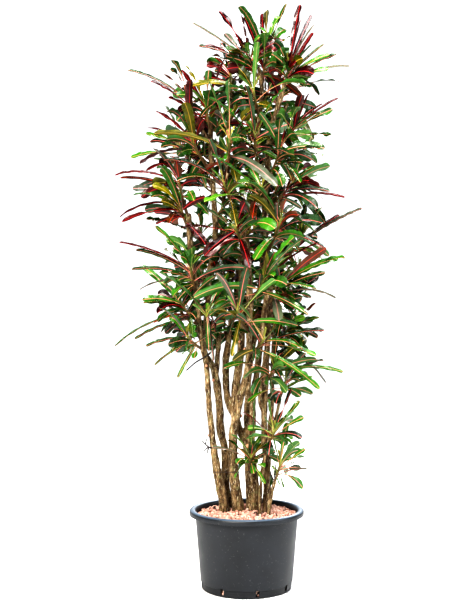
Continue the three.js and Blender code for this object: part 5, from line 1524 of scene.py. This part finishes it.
def leaf_material(name, blade, clouded, rib, under, gloss):
    """Blade and clouded are the leaf's two colours. Rib and under are those of its rib and lower side."""
    # A waxed, leathery skin: soft-edged lamp streaks above, dull below, sunk veins, quilted between them.
    material, tree, shader = start_material(name, IOR=1.45, Coat_Weight=0.3, Coat_Roughness=0.2)
    side, along, tint, lower = (
        add_node(tree, "Attribute", attribute_name=label, output="Fac") for label in measure_names
    )
    point = add_node(tree, "TexCoord", output="Object")
    away = add_node(tree, "Math", {0: side}, operation="ABSOLUTE")
    # The second colour lies in clouds about 26 mm wide. Each leaf's own tint makes it darker or lighter.
    cloud = add_node(tree, "TexNoise", {"Vector": point, "Scale": 1000 / 26, "Detail": 3.0})
    cloud = add_node(tree, "Math", {0: tint, 1: 0.35, 2: cloud}, operation="MULTIPLY_ADD")
    cloud = add_node(tree, "MapRange", span(cloud, 0.52, 0.84), **step)
    colour = add_node(tree, "Mix", {0: cloud, 6: blade, 7: clouded}, **mix)
    shade = add_node(tree, "MapRange", span(tint, 0, 1, 0.62, 1.4))
    colour = add_node(tree, "HueSaturation", {"Color": colour, "Value": shade})
    # Veins leave the rib every 5 mm and sweep forward to the margin.
    sweep = add_node(tree, "Math", {0: away, 1: 0.13}, **times)
    phase = add_node(tree, "Math", {0: along, 1: 1 / 5, 2: sweep}, operation="MULTIPLY_ADD")
    phase = add_node(tree, "Math", {0: phase, 1: 0.5}, operation="PINGPONG")
    vein = add_node(tree, "MapRange", span(phase, 0.1, 0.0, 0, 0.1), **step)
    colour = add_node(tree, "Mix", {0: vein, 6: colour, 7: rib}, **mix)
    dull = add_node(tree, "Math", {0: lower, 1: 0.7}, **times)
    colour = add_node(tree, "Mix", {0: dull, 6: colour, 7: under}, **mix)
    # The rib narrows from 2.4 mm at the stalk to half of that at the tip, with a soft flush beside it.
    edge = add_node(tree, "MapRange", span(along, 0, 170, 1.2, 0.6))
    wide = add_node(tree, "Math", {0: edge, 1: 2.4}, **times)
    flush = add_node(tree, "MapRange", span(away, wide, edge, 0, 0.12), **step)
    colour = add_node(tree, "Mix", {0: flush, 6: colour, 7: rib}, **mix)
    outside = add_node(tree, "Math", {0: edge, 1: 0.3}, **plus)
    core = add_node(tree, "MapRange", span(away, outside, edge, 0, 0.92), **step)
    colour = add_node(tree, "Mix", {0: core, 6: colour, 7: rib}, **mix)
    # The stalk is olive, whatever the blade's tone.
    stalk = add_node(tree, "MapRange", span(along, 12, 3, 0, 0.7), **step)
    colour = add_node(tree, "Mix", {0: stalk, 6: colour, 7: "#83863c"}, **mix)
    tree.links.new(colour, shader.inputs["Base Color"])
    # The wax is worn in spots about 12 mm wide, and the lower side has little of it.
    wear = add_node(tree, "TexNoise", {"Vector": point, "Scale": 1000 / 12, "Detail": 3.0})
    rough = add_node(tree, "MapRange", span(wear, 0.3, 0.7, gloss - 0.06, gloss + 0.08))
    rough = add_node(tree, "Math", {0: lower, 1: 0.24, 2: rough}, operation="MULTIPLY_ADD")
    tree.links.new(rough, shader.inputs["Roughness"])
    quilt = add_node(tree, "TexNoise", {"Vector": point, "Scale": 1000 / 7, "Detail": 2.0})
    ridge = add_node(tree, "MapRange", span(phase, 0, 0.3, 0, 0.7), **step)
    relief = add_node(tree, "Math", {0: quilt, 1: ridge}, **plus)
    relief = add_node(tree, "Bump", {"Height": relief, "Distance": 0.5 * mm, "Strength": 0.55})
    tree.links.new(relief, shader.inputs["Normal"])
    return material


# %% The eight tones
# Name, blade, clouded part, rib, lower side and gloss.
leaf_tones = {
    "maroon": leaf_material("croton_leaf_maroon", "#260808", "#451210", "#b02c30", "#3f1717", 0.22),
    "olive": leaf_material("croton_leaf_dark_blue_green", "#112b18", "#254a24", "#cf6a68", "#2f4a2c", 0.2),
    "rust": leaf_material("croton_leaf_brown_orange", "#3c1c09", "#65360d", "#c23d26", "#543019", 0.26),
    "green": leaf_material("croton_leaf_deep_green", "#173f0f", "#376c1a", "#d28a74", "#38622a", 0.2),
    "gold": leaf_material("croton_leaf_golden_olive", "#3f480e", "#696710", "#c4a050", "#5a5b20", 0.24),
    "fresh": leaf_material("croton_leaf_young_green", "#2c601c", "#507e24", "#a9a868", "#4c7638", 0.22),
    "pale": leaf_material("croton_leaf_pale_underside", "#3c4a38", "#525a48", "#c67a78", "#5e6250", 0.36),
    "bud": leaf_material("croton_leaf_bud_yellow", "#72772d", "#868139", "#bab35b", "#6e7131", 0.32),
}
print("leaf tones:", ", ".join(leaf_tones))

# %% [markdown]
# ## The stems' skin
# A croton's young stems are green and smooth, and turn brown and corky where they meet the cane. Two
# materials could meet half-way, but the change is gradual on the plant. So one ramp runs along the stem, and
# a mottle moves its colours to and fro.

# %% Stem skin
# Living green bark with cork on it: half matt, and rougher to the eye where it is brown.
stem_skin, tree, shader = start_material("croton_stem_skin", Roughness=0.55, IOR=1.45)
point = add_node(tree, "TexCoord", output="Object")
outward = add_node(tree, "Attribute", attribute_name="leaf_tint", output="Fac")  # 0 at the cane, 1 at the bud
outward = add_node(tree, "Math", {0: outward, 1: 0.75}, **times)
mottle = add_node(tree, "TexNoise", {"Vector": point, "Scale": 1000 / 9, "Detail": 4.0})
mottle = add_node(tree, "Math", {0: mottle, 1: 0.45, 2: outward}, operation="MULTIPLY_ADD")
skins = [(0.22, "#3c2c1a"), (0.97, "#7e7c3e"), (0.45, "#5f4a30"), (0.68, "#6b5636"), (0.86, "#5c5a30")]
colour = add_node(tree, "ValToRGB", {"Fac": mottle}, stops=skins)
tree.links.new(colour, shader.inputs["Base Color"])
cork = add_node(tree, "TexNoise", {"Vector": point, "Scale": 1000 / 4, "Detail": 4.0})
corky = add_node(tree, "Bump", {"Height": cork, "Distance": 0.8 * mm, "Strength": 0.6})
tree.links.new(corky, shader.inputs["Normal"])
print("stem colours:", len(skins))

# %% [markdown]
# ## Leaf shapes
# A leaf is a strip that is narrow at its stalk and widest past its middle, and often pinched: some crotons
# have a spoon-shaped end, or two blades on one bare rib. The real one is about half a millimetre thick,
# folded a little along its rib and waved at its margins. A plane with a thickness modifier could do, but a
# closed skin with its own rib holds its form from both sides.

# %% Outlines of the fine blades
# Half widths along the leaf, both from 0 to 1. Their ends are rounder than those of the solids.
blade_outlines = {
    "strap": [
        [0, 0.1], [0.05, 0.18], [0.14, 0.48], [0.3, 0.8], [0.55, 0.98], [0.8, 1], [0.94, 0.88], [1, 0.78],
    ],
    "spoon": [[0, 0.1], [0.42, 0.14], [0.55, 0.4], [0.72, 0.94], [0.86, 1], [1, 0.9]],
    "paddle": [[0, 0.1], [0.08, 0.14], [0.28, 0.4], [0.52, 0.78], [0.76, 1], [0.92, 1], [1, 0.92]],
    "interrupted": [
        [0, 0.1], [0.07, 0.14], [0.22, 0.8], [0.38, 0.84], [0.48, 0.1],
        [0.58, 0.1], [0.68, 0.8], [0.84, 1], [0.95, 0.72], [1, 0.5],
    ],
}
# Each outline is read at many places, and its corners are rounded by a running mean.
fine_places, mean_width = np.linspace(0, 1, 241), 15
rounding = np.hanning(mean_width) / np.hanning(mean_width).sum()
outlines = {}
for form, shape in blade_outlines.items():
    places, widths = np.array(shape).T
    padded = np.pad(np.interp(fine_places, places, widths), mean_width // 2, "edge")
    outlines[form] = np.convolve(padded, rounding, "valid")
print("outlines:", ", ".join(outlines))

# %% The faces of a leaf
# An upper and a lower skin, in rows of five points, closed along their edges.
leaf_rows, leaf_shares = 24, np.array([-1, -0.5, 0, 0.5, 1])
leaf_places = 1 - (1 - np.linspace(0, 1, leaf_rows)) ** 1.3  # closer together towards the round end
leaf_quads = []
across, lower_skin = len(leaf_shares), leaf_rows * len(leaf_shares)
for a in range(0, lower_skin - across, across):
    for corner in range(a, a + across - 1):
        quad = (corner, corner + across, corner + across + 1, corner + 1)
        leaf_quads += [quad, tuple(lower_skin + i for i in reversed(quad))]
    for left, forward in ((a, False), (a + across - 1, True)):
        quad = (left, left + lower_skin, left + lower_skin + across, left + across)
        leaf_quads.append(quad[::-1] if forward else quad)
for corner in range(across - 1):
    quad = (corner, corner + 1, corner + 1 + lower_skin, corner + lower_skin)
    leaf_quads += [quad, tuple(i + lower_skin - across for i in reversed(quad))]
leaf_quads = np.array(leaf_quads)
print("faces of a leaf:", len(leaf_quads))


# %% Leaf skin
def leaf_skin(leaf, form, random):
    """A leaf's points, upper skin first, and its four measures."""
    t, s = leaf_places, leaf_shares[None, :]
    centre, side, up = leaf_frame(leaf, t)
    length = leaf_length(leaf)
    # The half width: never less than the stalk, and closing in a round end.
    blade = leaf["width"] / 2 * np.interp(t, fine_places, outlines[form])
    stalk = 1.2 + 0.5 * np.exp(-18 * t)
    to_end = np.clip((1 - t) * length / (0.62 * leaf["width"]), 0, 1)
    round_end = np.maximum(np.sqrt(1 - (1 - to_end) ** 2), 0.04)
    half = (np.maximum(stalk, blade) * round_end)[:, None]
    # The fold along the rib, in radians, and the waves of both margins, 34 to 56 mm long.
    fold = 0.1 + 0.32 * random()
    wave = (0.12 + 0.24 * random()) * np.clip(half - 3, 0, 8)
    beat = (2 * math.pi * length / (34 + 22 * random()) * t)[:, None]
    left, right = 2 * math.pi * random(), 2 * math.pi * random()
    ripple = np.where(s > 0, np.sin(beat + left), np.sin(1.13 * beat + right))
    half = half * (1 + 0.05 * np.where(s > 0, np.sin(0.9 * beat + right), np.sin(0.8 * beat + left)))
    curl = ((random() - 0.62) * 0.13 * length * t**3)[:, None]  # most tips curl down
    rise = fold * np.abs(s) * half + wave * ripple * s**2 + curl
    # Half of the thickness: full at the stalk, thin at the margins, and a rib that stands out below.
    thick = ((0.26 + 0.95 * np.exp(-((t / 0.1) ** 2)))[:, None]) * (1 - 0.75 * s**2)
    rib = (0.4 + 1.1 * (1 - t))[:, None] * (s == 0)
    flat = centre[:, None] + side[:, None] * (s * half * math.cos(fold))[..., None]
    upper = flat + up[:, None] * (rise + thick)[..., None]
    lower = flat + up[:, None] * (rise - thick - rib)[..., None]
    narrow = max(1.0, 20 / leaf["width"])  # a leaf under 20 mm wide has a thinner rib
    measures = (
        np.tile((s * half * narrow).ravel(), 2), np.tile(np.repeat(t * length, across), 2),
        np.full(2 * lower_skin, random()), np.repeat([0.0, 1.0], lower_skin),
    )
    return np.concatenate([upper.reshape(-1, 3), lower.reshape(-1, 3)]), measures


# %% [markdown]
# ## Dressing the shoots
# Each shoot of the real plant can be cut off whole, with its stem and leaves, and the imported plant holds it
# as one solid. So its stem and leaves become one piece that replaces that solid. Single leaves could be
# pieces too, but over a thousand of them would be slow to load. The sprigs of a cane, which the solids
# don't have, are one more piece each.

# %% One piece from the stems and leaves of some shoots
tone_order = list(leaf_tones)
stem_rings, stem_sides = 16, 10


def dress(shoots_of_piece, name, replaced):
    """Makes the piece, and returns how many faces it has."""
    groups, faces, face_tones, start = [], [], [], 0
    measures = [[], [], [], []]
    for shoot in shoots_of_piece:
        # The stem starts inside the cane. Old leaf stalks leave it a little knotty.
        ring_places = np.linspace(0, 1, stem_rings)
        line = stem_line(shoot, ring_places)
        line[:, 3] *= 0.92 + 0.12 * np.sin(ring_places * shoot["reach"] / 3.1) ** 2
        outside = np.linalg.norm(line[:, :3] - shoot["start"], axis=1) > shoot["cane_radius"] * 0.5
        line = line[max(int(np.argmax(outside)) - 1, 0) :]
        points, stem_faces = tube(line, stem_sides, start)
        groups.append(points)
        faces += stem_faces
        face_tones += [len(tone_order)] * len(stem_faces)
        start += len(points)
        young = np.append(np.repeat(np.linspace(0, 1, len(line)), stem_sides), [0, 1])
        for values, own in zip(measures, (young * 0, young * 0, young, young * 0)):
            values.append(own)
        random = seeded(90001 + shoot["owner"])
        for leaf in shoot["placed"]:
            rounder = leaf["form"] == "strap" and shoot["tones"] == "fresh"  # the low shoots' straps
            points, own_measures = leaf_skin(leaf, "paddle" if rounder else leaf["form"], random)
            groups.append(points)
            faces += (leaf_quads + start).tolist()
            face_tones += [tone_order.index(leaf["tone"])] * len(leaf_quads)
            start += len(points)
            for values, own in zip(measures, own_measures):
                values.append(own)
    materials = list(leaf_tones.values()) + [stem_skin]
    values = {label: np.concatenate(own) for label, own in zip(measure_names, measures)}
    new_piece(name, np.concatenate(groups) * mm, faces, materials, replaced, face_tones, 75, values)
    return len(faces)


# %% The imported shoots, and the sprigs of each cane
packed_shoots, sprigs, total = grown[: len(shoots)], grown[len(shoots) :], 0
for shoot in packed_shoots:
    total += dress([shoot], shoot["name"] + "_leaves", [shoot["name"]])
for name in canes:
    on_cane = [sprig for sprig in sprigs if sprig["cane"] == name]
    if on_cane:
        total += dress(on_cane, name + "_sprigs", [])
print("leaves, stems and sprigs:", total, "faces")

# %% Finish
fine_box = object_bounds()
for label, before, after in zip(("low corner", "high corner"), cad_box, fine_box):
    print(label, "moved by", [round(1000 * (b - a), 1) for a, b in zip(before, after)], "mm")
